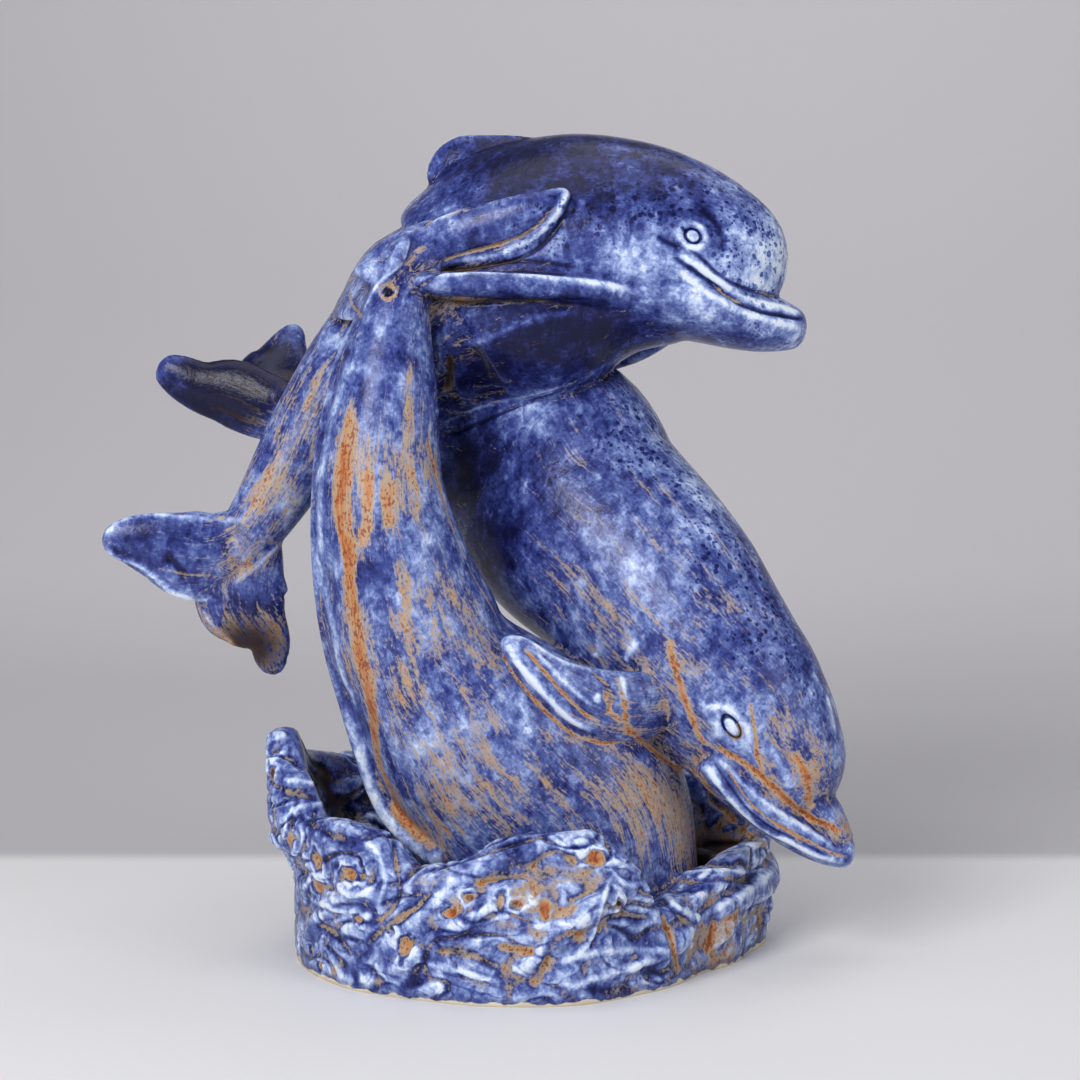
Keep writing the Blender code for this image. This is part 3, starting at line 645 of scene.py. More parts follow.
# The drawn part of the waves: channels of dark glaze with their half width and rust, pale
# ridges with their half width, and pools with their half sizes and what lies in them.
waveMarks = {
    "channels": [
        (2.0, 0.1, [(433, 892), (418, 907), (400, 919), (379, 932), (365, 946)]),
        (1.9, 0.1, [(316, 925), (328, 929), (340, 940), (352, 956)]),
        (1.5, 0.0, [(478, 926), (460, 937), (436, 940), (427, 952), (425, 979)]),
        (1.7, 0.0, [(439, 952), (460, 953), (478, 958), (499, 968)]),
        (2.0, 0.8, [(496, 946), (514, 949), (535, 953)]),
        (2.6, 0.2, [(584, 932), (560, 938), (551, 947), (547, 962), (538, 979), (529, 988)]),
        (1.2, 0.0, [(394, 841), (397, 868), (400, 892), (391, 910), (370, 928)]),
        (1.0, 0.0, [(430, 871), (454, 865), (472, 859), (496, 850), (547, 835)]),
        (1.4, 0.1, [(472, 886), (490, 880), (505, 877), (529, 875)]),
        (1.4, 0.1, [(530, 869), (542, 857), (557, 851), (569, 857), (579, 863)]),
        (1.8, 0.8, [(662, 914), (671, 938), (677, 962), (680, 974)]),
        (1.3, 0.1, [(617, 896), (626, 914), (650, 917)]),
        (1.3, 0.1, [(626, 914), (605, 920), (590, 950)]),
        (1.6, 0.9, [(713, 920), (710, 938), (707, 956)]),
        (1.6, 0.0, [(758, 912), (760, 930), (756, 946)]),
        (2.2, 0.0, [(295, 814), (325, 832), (349, 841), (370, 835), (379, 829)]),
        (1.8, 0.0, [(284, 792), (306, 796), (330, 801), (352, 803)]),
        (1.4, 0.0, [(702, 845), (722, 844), (740, 842), (758, 834), (770, 842)]),
        (1.3, 0.0, [(671, 881), (698, 881), (725, 879), (752, 882)]),
        (1.6, 0.0, [(659, 898), (680, 916), (698, 925), (716, 916), (740, 905), (770, 892)]),
        (1.3, 0.0, [(300, 905), (318, 916), (345, 921), (366, 914)])],
    "ridges": [
        (1.6, [(340, 868), (337, 883), (349, 895), (367, 892), (379, 880), (382, 868), (376, 850), (364, 841)]),
        (1.5, [(310, 898), (328, 907), (346, 911), (361, 907)]),
        (1.5, [(386, 868), (385, 886), (379, 904), (382, 916)]),
        (2.8, [(457, 877), (442, 895), (427, 910), (412, 922), (394, 937), (382, 949)]),
        (1.8, [(285, 733), (268, 754), (269, 781), (280, 811), (277, 835), (277, 862), (289, 883), (307, 913)]),
        (1.8, [(530, 834), (548, 831), (569, 830), (590, 824), (611, 830), (629, 837), (644, 854), (653, 857),
               (656, 869), (650, 878)]),
        (1.1, [(575, 956), (593, 938), (597, 920), (602, 905), (611, 875)]),
        (1.7, [(530, 926), (554, 923), (575, 923), (590, 914)]),
        (2.0, [(560, 962), (590, 953), (620, 950), (650, 950), (671, 950)]),
        (1.8, [(566, 989), (590, 980), (620, 971), (650, 962)]),
        (2.0, [(604, 941), (612, 939)]),
        (1.5, [(557, 884), (563, 890), (564, 908)]),
        (1.7, [(283, 781), (304, 782), (328, 788), (349, 793), (364, 799)]),
        (1.6, [(289, 811), (310, 805), (334, 803), (355, 806), (376, 817)]),
        (2.2, [(659, 887), (674, 905), (698, 917), (716, 908), (740, 896), (752, 888), (770, 873), (785, 848)]),
        (1.2, [(710, 857), (740, 857), (764, 857), (785, 848)]),
        (1.2, [(671, 875), (698, 872), (722, 870), (746, 872), (767, 869)]),
        (2.0, [(707, 827), (716, 818), (725, 811)]),
        (1.8, [(722, 830), (740, 825), (758, 821)]),
        (1.7, [(752, 908), (734, 917), (726, 935), (720, 956)]),
        (1.5, [(415, 960), (440, 966), (470, 974), (500, 983)]),
        (1.4, [(610, 868), (620, 881), (634, 886), (645, 880)])],
    "pools": [
        ((274, 748), (3, 4), "dark"), ((272, 773), (2, 3.4), "dark"), ((276, 812), (1.6, 3.8), "rust"),
        ((293, 821), (2.4, 2.4), "dark"), ((289, 842), (2.7, 4), "rust"), ((294, 862), (2, 2), "rust"),
        ((318, 860), (3.4, 4.7), "rust"), ((317, 886), (4, 3), "rust"), ((350, 874), (4.7, 3), "rust"),
        ((363, 877), (1.6, 2.2), "dark"), ((340, 821), (1.9, 1.9), "dark"), ((317, 820), (4, 1.3), "dark"),
        ((406, 947), (3.4, 4), "rust"), ((321, 967), (2, 2), "rust"), ((313, 950), (2, 2), "rust"),
        ((392, 932), (2, 1.3), "rust"), ((596, 858), (4.7, 2.4), "rust"), ((451, 913), (3.2, 1.6), "rust"),
        ((500, 902), (2.4, 3.2), "rust"), ((359, 919), (2.4, 1.5), "rust"), ((545, 910), (2.2, 4.2), "rust"),
        ((515, 905), (3.0, 2.0), "dark"), ((470, 897), (3.0, 1.8), "dark"), ((620, 905), (2.6, 2.0), "dark"),
        ((692, 944), (3.0, 2.4), "pale"), ((740, 939), (2.2, 3.0), "pale")],
}

# Broad patch entries: seen place, reach, rust, dark dots, paleness. Some paleness values are painted light: painted
# highlights on the leaper's cheek and melon and the plunger's upper body, and painted shade on the leaper's belly and
# far fluke, the plunger's side and far flukes, and the recess right of the column.
patchesAndPaintedLight = {
    "column": [
        ((352, 480), 13, 0.25, 0, 0), ((345, 560), 12, 0.25, 0, 0), ((355, 660), 12, 0.25, 0, 0),
        ((385, 480), 22, 0.42, 0, 0.2), ((430, 490), 16, 0.25, 0, 0.1), ((415, 600), 22, 0.4, 0, 0.2),
        ((350, 660), 18, 0.2, 0, 0.2), ((520, 720), 24, 0.1, 0, 0.3), ((430, 740), 24, 0.2, 0, 0.2),
        ((470, 640), 14, 0.42, 0, 0), ((395, 680), 14, 0.35, 0, 0), ((455, 780), 24, 0.3, 0, 0),
        ((430, 820), 18, 0.3, 0, 0), ((500, 800), 20, 0.25, 0, 0), ((428, 322), 8, 0.6, 0, -0.1),
        ((371, 580), 12, -0.5, 0.2, -0.3), ((364, 405), 9, -0.4, 0.2, -0.2), ((419, 545), 12, -0.3, 0, 0.25),
        # rust and painted shade: (650, 800) and (690, 830) rust the recess right of the column, under the plunger's
        # jaw, and darken it for the shade that falls there
        ((520, 735), 22, -0.1, 0.1, 0.05), ((560, 780), 18, 0.2, 0, 0), ((650, 800), 24, 0.7, 0, -0.35),
        ((690, 830), 16, 0.5, 0, -0.25), ((395, 335), 14, -0.3, 0.2, -0.1), ((405, 355), 12, -0.1, 0, 0.0)],
    "leaper": [
        ((490, 160), 30, -0.5, 0.4, -0.7), ((570, 150), 38, -0.5, 0.6, -0.95), ((590, 222), 14, -0.5, 0, 0.1), ((680, 180), 34, -0.5, 1.0, -0.45),
        # pale glaze and painted highlight: (774, 270) on the melon's front and (645, 262) and (605, 266) on the cheek
        # are made paler for the lamps' reflection there as well as for thin glaze
        ((755, 225), 28, -0.5, 0.9, 0.6), ((774, 270), 18, -0.4, 0.7, 0.9), ((645, 262), 20, -0.4, -0.8, 0.6),
        ((605, 266), 16, -0.3, -0.3, 0.6), ((690, 285), 14, -0.3, -0.6, 0.45), ((790, 325), 12, -0.2, 0, 0.2),
        ((560, 235), 22, -0.2, 0.2, 0.4), ((600, 220), 24, -0.2, 0.5, -0.2), ((500, 240), 14, 0.15, 0.2, -0.15),
        # painted shade over dark glaze: (540, 345), (610, 335) and (470, 375) darken the leaper's belly, where shade
        # falls under the body
        ((540, 345), 32, -0.2, 0.2, -1.2), ((610, 335), 22, -0.1, 0.3, -0.8), ((470, 375), 22, 0.1, 0, -1.0),
        ((730, 340), 22, -0.1, 0.4, -0.05), ((700, 320), 14, -0.1, 0.1, 0.25), ((455, 300), 9, 0.4, 0, 0),
        ((420, 190), 20, -0.1, 0.4, -0.25), ((460, 145), 10, 0, 0.2, 0.3), ((300, 440), 20, 0.35, 0, 0),
        ((265, 500), 18, 0.45, 0, 0), ((325, 370), 22, 0.3, 0, -0.1), ((245, 560), 12, 0.4, 0, 0.1),
        # rust and painted shade: (250, 645) rusts the far lower fluke lobe and darkens it because it faces away from
        # the lamps
        ((250, 645), 20, 0.9, 0, -1.6), ((150, 540), 22, -0.1, 0.2, -0.5), ((370, 250), 14, 0.3, 0.2, -0.2)],
    "plunger": [
        # painted highlight: (530, 408) makes the plunger's upper body paler where the key lamp's reflection falls
        ((530, 408), 14, -0.3, 0, 0.8), ((640, 440), 26, -0.1, 0.9, 0.25), ((700, 480), 24, -0.1, 1.2, 0.6),
        # painted shade: (475, 470) and (500, 550) darken the plunger's side where it lies in shade beside the column
        ((740, 560), 22, 0.0, 1.2, 0.1), ((475, 470), 20, -0.3, 0.3, -1.0), ((500, 550), 20, -0.2, 0.2, -1.1), ((545, 480), 20, 0, 0.2, -0.3),
        ((560, 580), 24, 0.15, 0, -0.05), ((620, 620), 20, 0.2, 0, 0.05), ((660, 690), 18, 0.2, 0, 0.1),
        ((600, 650), 12, 0.2, 0, 0.2), ((700, 640), 20, 0.15, 0.1, 0.05), ((770, 640), 22, 0.0, 0.8, -0.2), ((815, 700), 14, 0.0, 0.3, 0.4),
        ((805, 770), 16, 0.55, 0.1, 0.1), ((775, 730), 14, 0.2, 0.2, 0.1), ((846, 826), 8, 0.9, 0, 0.1), ((640, 560), 20, 0.0, 0.1, 0.2),
        # painted shade: (270, 370) and (200, 390) darken the plunger's far flukes, which lie far back in shade
        ((270, 370), 28, 0.2, 0.2, -1.8), ((200, 390), 26, 0.15, 0.2, -1.8), ((285, 345), 12, 0, 0, 0.2)],
    "waves": [
        # rust and painted shade: (700, 865) rusts the recess between the column and the rim and darkens it for the
        # shade that falls there
        ((720, 940), 20, 0.6, 0, -0.2), ((700, 865), 26, 0.75, 0, -1.6), ((760, 930), 12, 0.3, 0, -0.1),
        ((540, 900), 12, 0.35, 0, 0), ((350, 930), 26, 0.0, 0, 0.35), ((430, 935), 14, 0.0, 0, 0.15), ((320, 775), 28, -0.1, 0, -1.5), ((560, 900), 22, 0.25, 0, 0.1), ((440, 900), 20, 0.2, 0, 0.1),
        ((350, 840), 18, -0.1, 0, -0.1), ((470, 960), 20, 0.1, 0, 0.15), ((600, 930), 24, 0.1, 0, 0.2), ((710, 930), 20, 0.0, 0, 0.3), ((520, 850), 12, 0.0, 0, -0.2)],
}


def swirls(points):
    # signed noise whose zero lines are the channels between the ridges of the waves
    warp = np.stack([ripples(points, 24, k) for k in (1, 2, 3)], axis=1) * 9 * mm
    stretched = (points + warp) * np.array([0.8, 0.8, 1.35])
    return ripples(stretched, 17, 5), ripples(stretched, 8, 8)


def followRuns(points):
    # for each point, which form it lies on, and its place across and along that form,
    # so that the glaze can run the way the body runs
    run = points.copy()
    who = np.full(len(points), 3)
    nearest = np.full(len(points), 1.6)
    for number, dolphin in enumerate((leaper, plunger, diver)):
        for form in dolphin.values():
            at, total = smoothRows(form["rows"])
            places = np.linspace(0, total, max(int(total / 5), 8))
            rows = np.array([at(place) for place in places])
            tangents = np.gradient(rows[:, :3], axis=0)
            tangents /= np.linalg.norm(tangents, axis=1)[:, None]
            centres, sizes = rows[:, :3] * mm, rows[:, 3:5].mean(1) * mm
            reach = sizes.max() * 1.5
            near = np.flatnonzero(
                ((points > centres.min(0) - reach) & (points < centres.max(0) + reach)).all(1))
            for chunk in np.array_split(near, max(len(near) // 20000, 1)):
                cloud = points[chunk]
                gaps = np.linalg.norm(cloud[:, None, :] - centres[None], axis=2) / sizes[None]
                best = gaps.argmin(1)
                gap = gaps[np.arange(len(chunk)), best]
                closer = gap < nearest[chunk]
                picked, best = chunk[closer], best[closer]
                nearest[picked] = gap[closer]
                who[picked] = number
                offset = cloud[closer] - centres[best]
                along = tangents[best]
                forward = (offset * along).sum(1)
                up = np.array(form["up"], float)
                top = up[None] - along * (along @ up)[:, None]
                top /= np.linalg.norm(top, axis=1)[:, None]
                side = np.cross(along, top)
                run[picked, 0] = (offset * side).sum(1)
                run[picked, 1] = (offset * top).sum(1)
                run[picked, 2] = places[best] * mm + forward
    return run, who


def otherSide(tree, line):
    # the same line on the far side of a body
    points = []
    for x, _, z in line:
        hit = tree.ray_cast(Vector((x, 0.3, z)), Vector((0, -1, 0)))[0]
        if hit is not None and (not points or (hit - Vector(points[-1])).length < 9 * mm):
            points.append(tuple(hit))
    return np.array(points)


def layMarks(tree):
    # every drawn line on the surface: the line, half width, lift, paleness, rust, in the waves
    laid = []
    for marks in (leaperMarks, plungerMarks, diverMarks):
        for name, (wide, high, paleness, rusty, places) in marks["lines"].items():
            line = seenLine(tree, places)
            laid.append((line, wide, high, paleness, rusty, 0.0))
            if name in ("mouth", "upper lip", "lower lip", "lip crease", "lip edge"):
                laid.append((otherSide(tree, line), wide, high, paleness, rusty, 0.0))
    for wide, rusty, places in waveMarks["channels"]:
        laid.append((seenLine(tree, places), 1.1 * wide, -1.0, -0.9, rusty, 1.0))
    for wide, places in waveMarks["ridges"]:
        laid.append((seenLine(tree, places), 1.25 * wide, 1.0, 0.55, -0.4, 1.0))
    return [entry for entry in laid if len(entry[0]) > 1]


def layEyes(tree):
    places = []
    for marks in (leaperMarks, plungerMarks):
        eye = marks["eye"]
        x, z = eye["far"]
        places.append((np.array(seen(tree, *eye["seen"])), eye))
        places.append((np.array(tree.ray_cast(Vector((x * mm, 0.3, z * mm)), Vector((0, -1, 0)))[0]), eye))
    return places


def sharpen(mesh, laid, eyes):
    # splits the faces under the thin marks once and under the eyes twice
    points = pointsOf(mesh)
    chosen = np.zeros(len(points), bool)
    for line, wide, high, paleness, rusty, inSea in laid:
        if wide < 2.0 and not inSea:
            chosen[nearLine(points, line, (wide + 1.3) * mm)[0]] = True
    for place, eye in eyes:
        chosen |= ((points - place) ** 2).sum(1) < (2.6 * eye["long"] * mm) ** 2
    splitFaces(mesh, chosen)
    points = pointsOf(mesh)
    chosen = np.zeros(len(points), bool)
    for place, eye in eyes:
        chosen |= ((points - place) ** 2).sum(1) < (1.5 * eye["long"] * mm) ** 2
    splitFaces(mesh, chosen)
    setPoints(mesh, softened(pointsOf(mesh), edgesOf(mesh), 2, keepSize=True))


def splitFaces(mesh, chosen):
    bm = bmesh.new()
    bm.from_mesh(mesh)
    edges = [e for e in bm.edges if chosen[e.verts[0].index] and chosen[e.verts[1].index]]
    bmesh.ops.subdivide_edges(bm, edges=edges, cuts=1, use_grid_fill=True)
    bm.to_mesh(mesh)
    bm.free()


def surfaceAxes(facing, turn):
    # a pair of directions on the surface, the first turned down from +X by some degrees
    turn = math.radians(turn)
    along = np.array([math.cos(turn), 0, -math.sin(turn)])
    along -= facing * (along @ facing)
    along /= np.linalg.norm(along)
    return along, np.cross(facing, along)


def bell(values, middle, spread):
    return np.exp(-((values - middle) / spread) ** 2)


def carve(mesh):
    setPoints(mesh, softened(pointsOf(mesh), edgesOf(mesh), 5, keepSize=True))
    tree = surfaceTree(mesh)
    laid, eyes = layMarks(tree), layEyes(tree)
    sharpen(mesh, laid, eyes)
    pairs = edgesOf(mesh)
    points = pointsOf(mesh)
    normals = normalsOf(mesh)
    count = len(points)
    lift, pale, rust, dots = np.zeros(count), np.zeros(count), np.zeros(count), np.zeros(count)
    cover, marked = np.zeros(count), np.zeros(count, bool)
    run, who = followRuns(points)

    # the drawn marks
    for line, wide, high, paleness, rusty, inSea in laid:
        near, gap, along = nearLine(points, line, (wide * 2.2 + 2 * inSea) * mm)
        if inSea:
            gap = gap * (1 + 0.45 * ripples(points[near], 6, 4))
        taper = np.clip(np.minimum(along, 1 - along) / 0.12, 0, 1) ** 0.5
        profile = np.exp(-(gap / (wide * 0.8 * mm)) ** (3 if wide > 3 else 2)) * taper
        lift[near] += high * profile
        pale[near] += paleness * profile
        rust[near] += rusty * profile
        cover[near] = np.maximum(cover[near], inSea * bell(gap, 0, wide * 1.9 * mm))
        marked[near[gap < 1.3 * wide * mm]] = True
    for seenAt, (across, upright), kind in waveMarks["pools"]:
        hit = seen(tree, *seenAt)
        if hit is None:
            continue
        offset = (points - np.array(hit)) / mm
        near = np.flatnonzero((offset**2).sum(1) < (3 * max(across, upright)) ** 2)
        facing = normals[near].mean(0)
        first, second = surfaceAxes(facing / np.linalg.norm(facing), 0)
        gap = np.hypot(offset[near] @ first / across, offset[near] @ second / upright)
        gap = gap * (1 + 0.6 * ripples(points[near], 4, 6))
        inside = 1 - eased(gap, 0.55, 1.05)
        lift[near] += 0.6 * bell(gap, 1.6, 0.35) - 0.8 * inside
        if kind == "rust":
            rust[near] += 0.9 * inside
            pale[near] += 0.45 * bell(gap, 1.6, 0.35) - 0.8 * bell(gap, 1.0, 0.25)
        elif kind == "dark":
            pale[near] += 0.45 * bell(gap, 1.6, 0.35) - 1.2 * inside
        else:
            lift[near] += 1.4 * inside
            pale[near] += 0.9 * inside - 0.6 * bell(gap, 1.3, 0.3)
        cover[near] = np.maximum(cover[near], bell(gap, 0.6, 1.0))
    pit = diverMarks["pit"]
    gap = np.linalg.norm(points - np.array(seen(tree, *pit["seen"])), axis=1) / (pit["wide"] * mm)
    lift -= pit["deep"] * bell(gap, 0, 1)
    pale -= 2.5 * bell(gap, 0, 1.1)
    rust += 1.1 * bell(gap, 1.9, 0.5)
    marked |= gap < 2.5

    # the eyes: a ball in a groove, between raised lids
    for place, eye in eyes:
        offset = (points - place) / mm
        near = np.flatnonzero((offset**2).sum(1) < (3.2 * eye["long"]) ** 2)
        offset = offset[near]
        facing = normals[near][(offset**2).sum(1) < 9].mean(0)
        first, second = surfaceAxes(facing / np.linalg.norm(facing), eye["turn"])
        a, b = offset @ first, offset @ second
        spread = np.hypot(a / eye["long"], b / eye["high"])
        inBall = np.clip(1 - np.hypot(a / eye["ball"][0], b / eye["ball"][1]) ** 2, 0, 1)
        lids, groove = bell(spread, 1.65, 0.5), bell(spread, 0.98, 0.13)
        lift[near] += 0.9 * lids - 0.9 * groove + 0.8 * np.sqrt(inBall)
        pale[near] += eye["lids"] * lids - 1.8 * groove + 0.75 * eased(inBall, 0.0, 0.3)
        rust[near] += eye["rust"] * bell(spread, 0.98, 0.3) * (a > 0) - 0.6 * lids
        dots[near] -= 1.5 * bell(spread, 0, 1.6)
        marked[near[spread < 1.9]] = True

    # the waves: the wall outside, its rim and the pool, but not the bodies that stand in it
    angle = np.degrees(np.arctan2(points[:, 1], points[:, 0]))
    tops = np.array([around(waves["height"], k) for k in range(-180, 180)])
    rim = tops[np.clip((angle + 180).astype(int), 0, 359)] * mm
    radius = np.hypot(points[:, 0], points[:, 1])
    inWaves = (who == 3) | ((radius > 0.078) & (points[:, 2] < rim + 0.004) & (who != 0) & (
        points[:, 2] < 0.075) & ((who != 1) | (points[:, 2] < 0.045)))
    sea = np.clip(softened(inWaves.astype(float), pairs, 6), 0, 1)
    low = eased(points[:, 2], 2 * mm, 6 * mm)
    swirl, fineSwirl = np.ones(count), np.ones(count)
    chosen = np.flatnonzero(sea > 0.02)
    swirl[chosen], fineSwirl[chosen] = swirls(points[chosen])
    free = sea * (1 - 0.8 * cover)
    lift += free * low * (1.5 * eased(np.abs(swirl), 0.02, 0.22) - 0.8)
    lift += free * low * (0.35 * eased(np.abs(fineSwirl), 0.02, 0.25) - 0.2)

    # broad patch entries of rust, dark dots and paleness; part of the paleness is painted highlight and painted shade
    for group in patchesAndPaintedLight.values():
        for place, reach, rusty, dotted, paleness in group:
            hit = seen(tree, *place)
            if hit is None:
                continue
            share = np.exp(-((points - np.array(hit)) ** 2).sum(1) / (reach * mm) ** 2)
            rust += rusty * share
            dots += dotted * share
            pale += paleness * share

    moved = points + normals * (lift * mm)[:, None]
    moved[:, 2] = np.maximum(moved[:, 2], 0)
    setPoints(mesh, moved)

    # edges and hollows, from how far each point stands proud of its softened neighbours
    normals = normalsOf(mesh)
    close = ((moved - softened(moved, pairs, 5)) * normals).sum(1) / mm
    wide = ((moved - softened(moved, pairs, 40)) * normals).sum(1) / mm
    proud = softened(np.clip(close * 1.6, -1, 1) + np.clip(wide * 0.55, -1, 1), pairs, 1)
    for name, values in (
            ("pale", pale), ("proud", proud), ("rust", rust), ("dots", dots), ("sea", sea), ("free", free),
            ("swirl", swirl), ("fineSwirl", fineSwirl), ("run", run)):
        store(mesh, name, values)
    towardsFront = normals[:, 1] < -0.05
    return mesh, marked, towardsFront


def store(mesh, name, values):
    kind = "FLOAT" if values.ndim == 1 else "FLOAT_VECTOR"
    layer = mesh.attributes.new(name, kind, "POINT")
    layer.data.foreach_set("value" if values.ndim == 1 else "vector", values.astype(np.float32).ravel())


carved, marked, towardsFront = carve(joined)
print("clay carved:", len(carved.vertices), "points,", int(marked.sum()), "of them marked")


def thinned(mesh, marked, towardsFront):
    # fewer triangles where the surface is even, none taken from the marks
    item = bpy.data.objects.new("carved clay", mesh)
    bpy.context.scene.collection.objects.link(item)
    group = item.vertex_groups.new(name="free to thin")
    group.add(np.flatnonzero(~marked & ~towardsFront).tolist(), 1.0, "REPLACE")
    group.add(np.flatnonzero(~marked & towardsFront).tolist(), 0.5, "REPLACE")
    for _ in range(3):
        mesh.calc_loop_triangles()
        triangles = len(mesh.loop_triangles)
        if triangles <= clay["mostTriangles"]:
            break
        fewer = item.modifiers.new("fewer", "DECIMATE")
        fewer.ratio = clay["mostTriangles"] / triangles
        fewer.vertex_group = "free to thin"
        fewer.vertex_group_factor = clay["frontKept"]
        mesh = evaluatedMesh(item)
        item.modifiers.clear()
        item.data = mesh
    bpy.data.objects.remove(item)
    return mesh


final = thinned(carved, marked, towardsFront)
final.calc_loop_triangles()
print("clay thinned:", len(final.loop_triangles), "triangles;", [a.name for a in final.attributes])


glaze = {
    # from thick and dark to where it breaks thin and white over the clay
    "blues": [
        (0.00, (0.005, 0.006, 0.036)), (0.22, (0.012, 0.017, 0.095)), (0.42, (0.038, 0.054, 0.225)),
        (0.57, (0.092, 0.130, 0.345)), (0.71, (0.205, 0.272, 0.540)), (0.86, (0.410, 0.500, 0.760)),
        (1.00, (0.680, 0.750, 0.860))],
    # from where it only turns grey to the hot orange middle of a run
    "rusts": [
        (0.00, (0.270, 0.265, 0.330)), (0.25, (0.380, 0.325, 0.280)), (0.45, (0.430, 0.295, 0.175)),
        (0.66, (0.460, 0.220, 0.080)), (0.84, (0.440, 0.150, 0.040)), (1.00, (0.300, 0.080, 0.018))],
    "bareClay": (0.700, 0.610, 0.460),
    "rough": (0.20, 0.42),
}


class Nodes:
    # short ways to add nodes to one material
    def __init__(self, name):
        self.material = bpy.data.materials.new(name)
        self.material.use_nodes = True
        self.tree = self.material.node_tree
        self.shader = self.tree.nodes["Principled BSDF"]

    def plug(self, socket, value):
        if isinstance(value, bpy.types.NodeSocket):
            self.tree.links.new(value, socket)
        else:
            socket.default_value = value

    def calc(self, kind, a, b=0.0, clamp=False):
        node = self.tree.nodes.new("ShaderNodeMath")
        node.operation = kind
        node.use_clamp = clamp
        self.plug(node.inputs[0], a)
        self.plug(node.inputs[1], b)
        return node.outputs[0]

    def total(self, *parts):
        # parts are values, or (value, weight), or (value, weight, middle)
        result = None
        for part in parts:
            if isinstance(part, tuple):
                value, weight, middle = (*part, 0.0)[:3]
                part = self.calc("MULTIPLY", self.calc("SUBTRACT", value, middle) if middle else value, weight)
            result = part if result is None else self.calc("ADD", result, part)
        return result

    def times(self, *parts):
        result = parts[0]
        for part in parts[1:]:
            result = self.calc("MULTIPLY", result, part)
        return result

    def bell(self, value, middle, spread):
        offset = self.calc("DIVIDE", self.calc("SUBTRACT", value, middle), spread)
        return self.calc("POWER", 2.71828, self.times(offset, offset, -1.0))

    def between(self, value, low, high):
        node = self.tree.nodes.new("ShaderNodeMapRange")
        node.interpolation_type = "SMOOTHSTEP"
        self.plug(node.inputs["Value"], value)
        node.inputs["From Min"].default_value = low
        node.inputs["From Max"].default_value = high
        return node.outputs["Result"]

    def stored(self, name, vector=False):
        node = self.tree.nodes.new("ShaderNodeAttribute")
        node.attribute_name = name
        return node.outputs["Vector" if vector else "Fac"]

    def stretched(self, vector, scale):
        node = self.tree.nodes.new("ShaderNodeVectorMath")
        node.operation = "MULTIPLY"
        self.plug(node.inputs[0], vector)
        node.inputs[1].default_value = scale
        return node.outputs[0]

    def mottle(self, vector, size, detail=3.0, rough=0.5, bent=0.0):
        # noise with lumps of about the given size in millimetres
        node = self.tree.nodes.new("ShaderNodeTexNoise")
        self.plug(node.inputs["Vector"], vector)
        node.inputs["Scale"].default_value = 1000.0 / size
        node.inputs["Detail"].default_value = detail
        node.inputs["Roughness"].default_value = rough
        node.inputs["Distortion"].default_value = bent
        return node.outputs["Fac"]

    def clouds(self, vector, size):
        # noise in three parts around 0
        node = self.tree.nodes.new("ShaderNodeTexNoise")
        self.plug(node.inputs["Vector"], vector)
        node.inputs["Scale"].default_value = 1000.0 / size
        offset = self.tree.nodes.new("ShaderNodeVectorMath")
        offset.operation = "SUBTRACT"
        self.plug(offset.inputs[0], node.outputs["Color"])
        offset.inputs[1].default_value = (0.5, 0.5, 0.5)
        return offset.outputs[0]

    def spots(self, vector, size, radius, patchy):
        # round spots of uneven size; patchy is noise that leaves some of them out
        node = self.tree.nodes.new("ShaderNodeTexVoronoi")
        self.plug(node.inputs["Vector"], vector)
        node.inputs["Scale"].default_value = 1000.0 / size
        edge = self.total(radius, (patchy, 0.9, 0.5))
        return self.between(self.calc("SUBTRACT", node.outputs["Distance"], edge), 0.07, -0.07)

    def ramp(self, value, stops):
        node = self.tree.nodes.new("ShaderNodeValToRGB")
        self.plug(node.inputs[0], value)
        elements = node.color_ramp.elements
        while len(elements) < len(stops):
            elements.new(0.5)
        for element, (place, colour) in zip(elements, stops):
            element.position = place
            element.color = (*colour, 1)
        return node.outputs[0]

    def blend(self, share, a, b):
        node = self.tree.nodes.new("ShaderNodeMix")
        node.data_type = "RGBA"
        self.plug(node.inputs[0], share)
        self.plug(node.inputs[6], a)
        self.plug(node.inputs[7], b)
        return node.outputs[2]


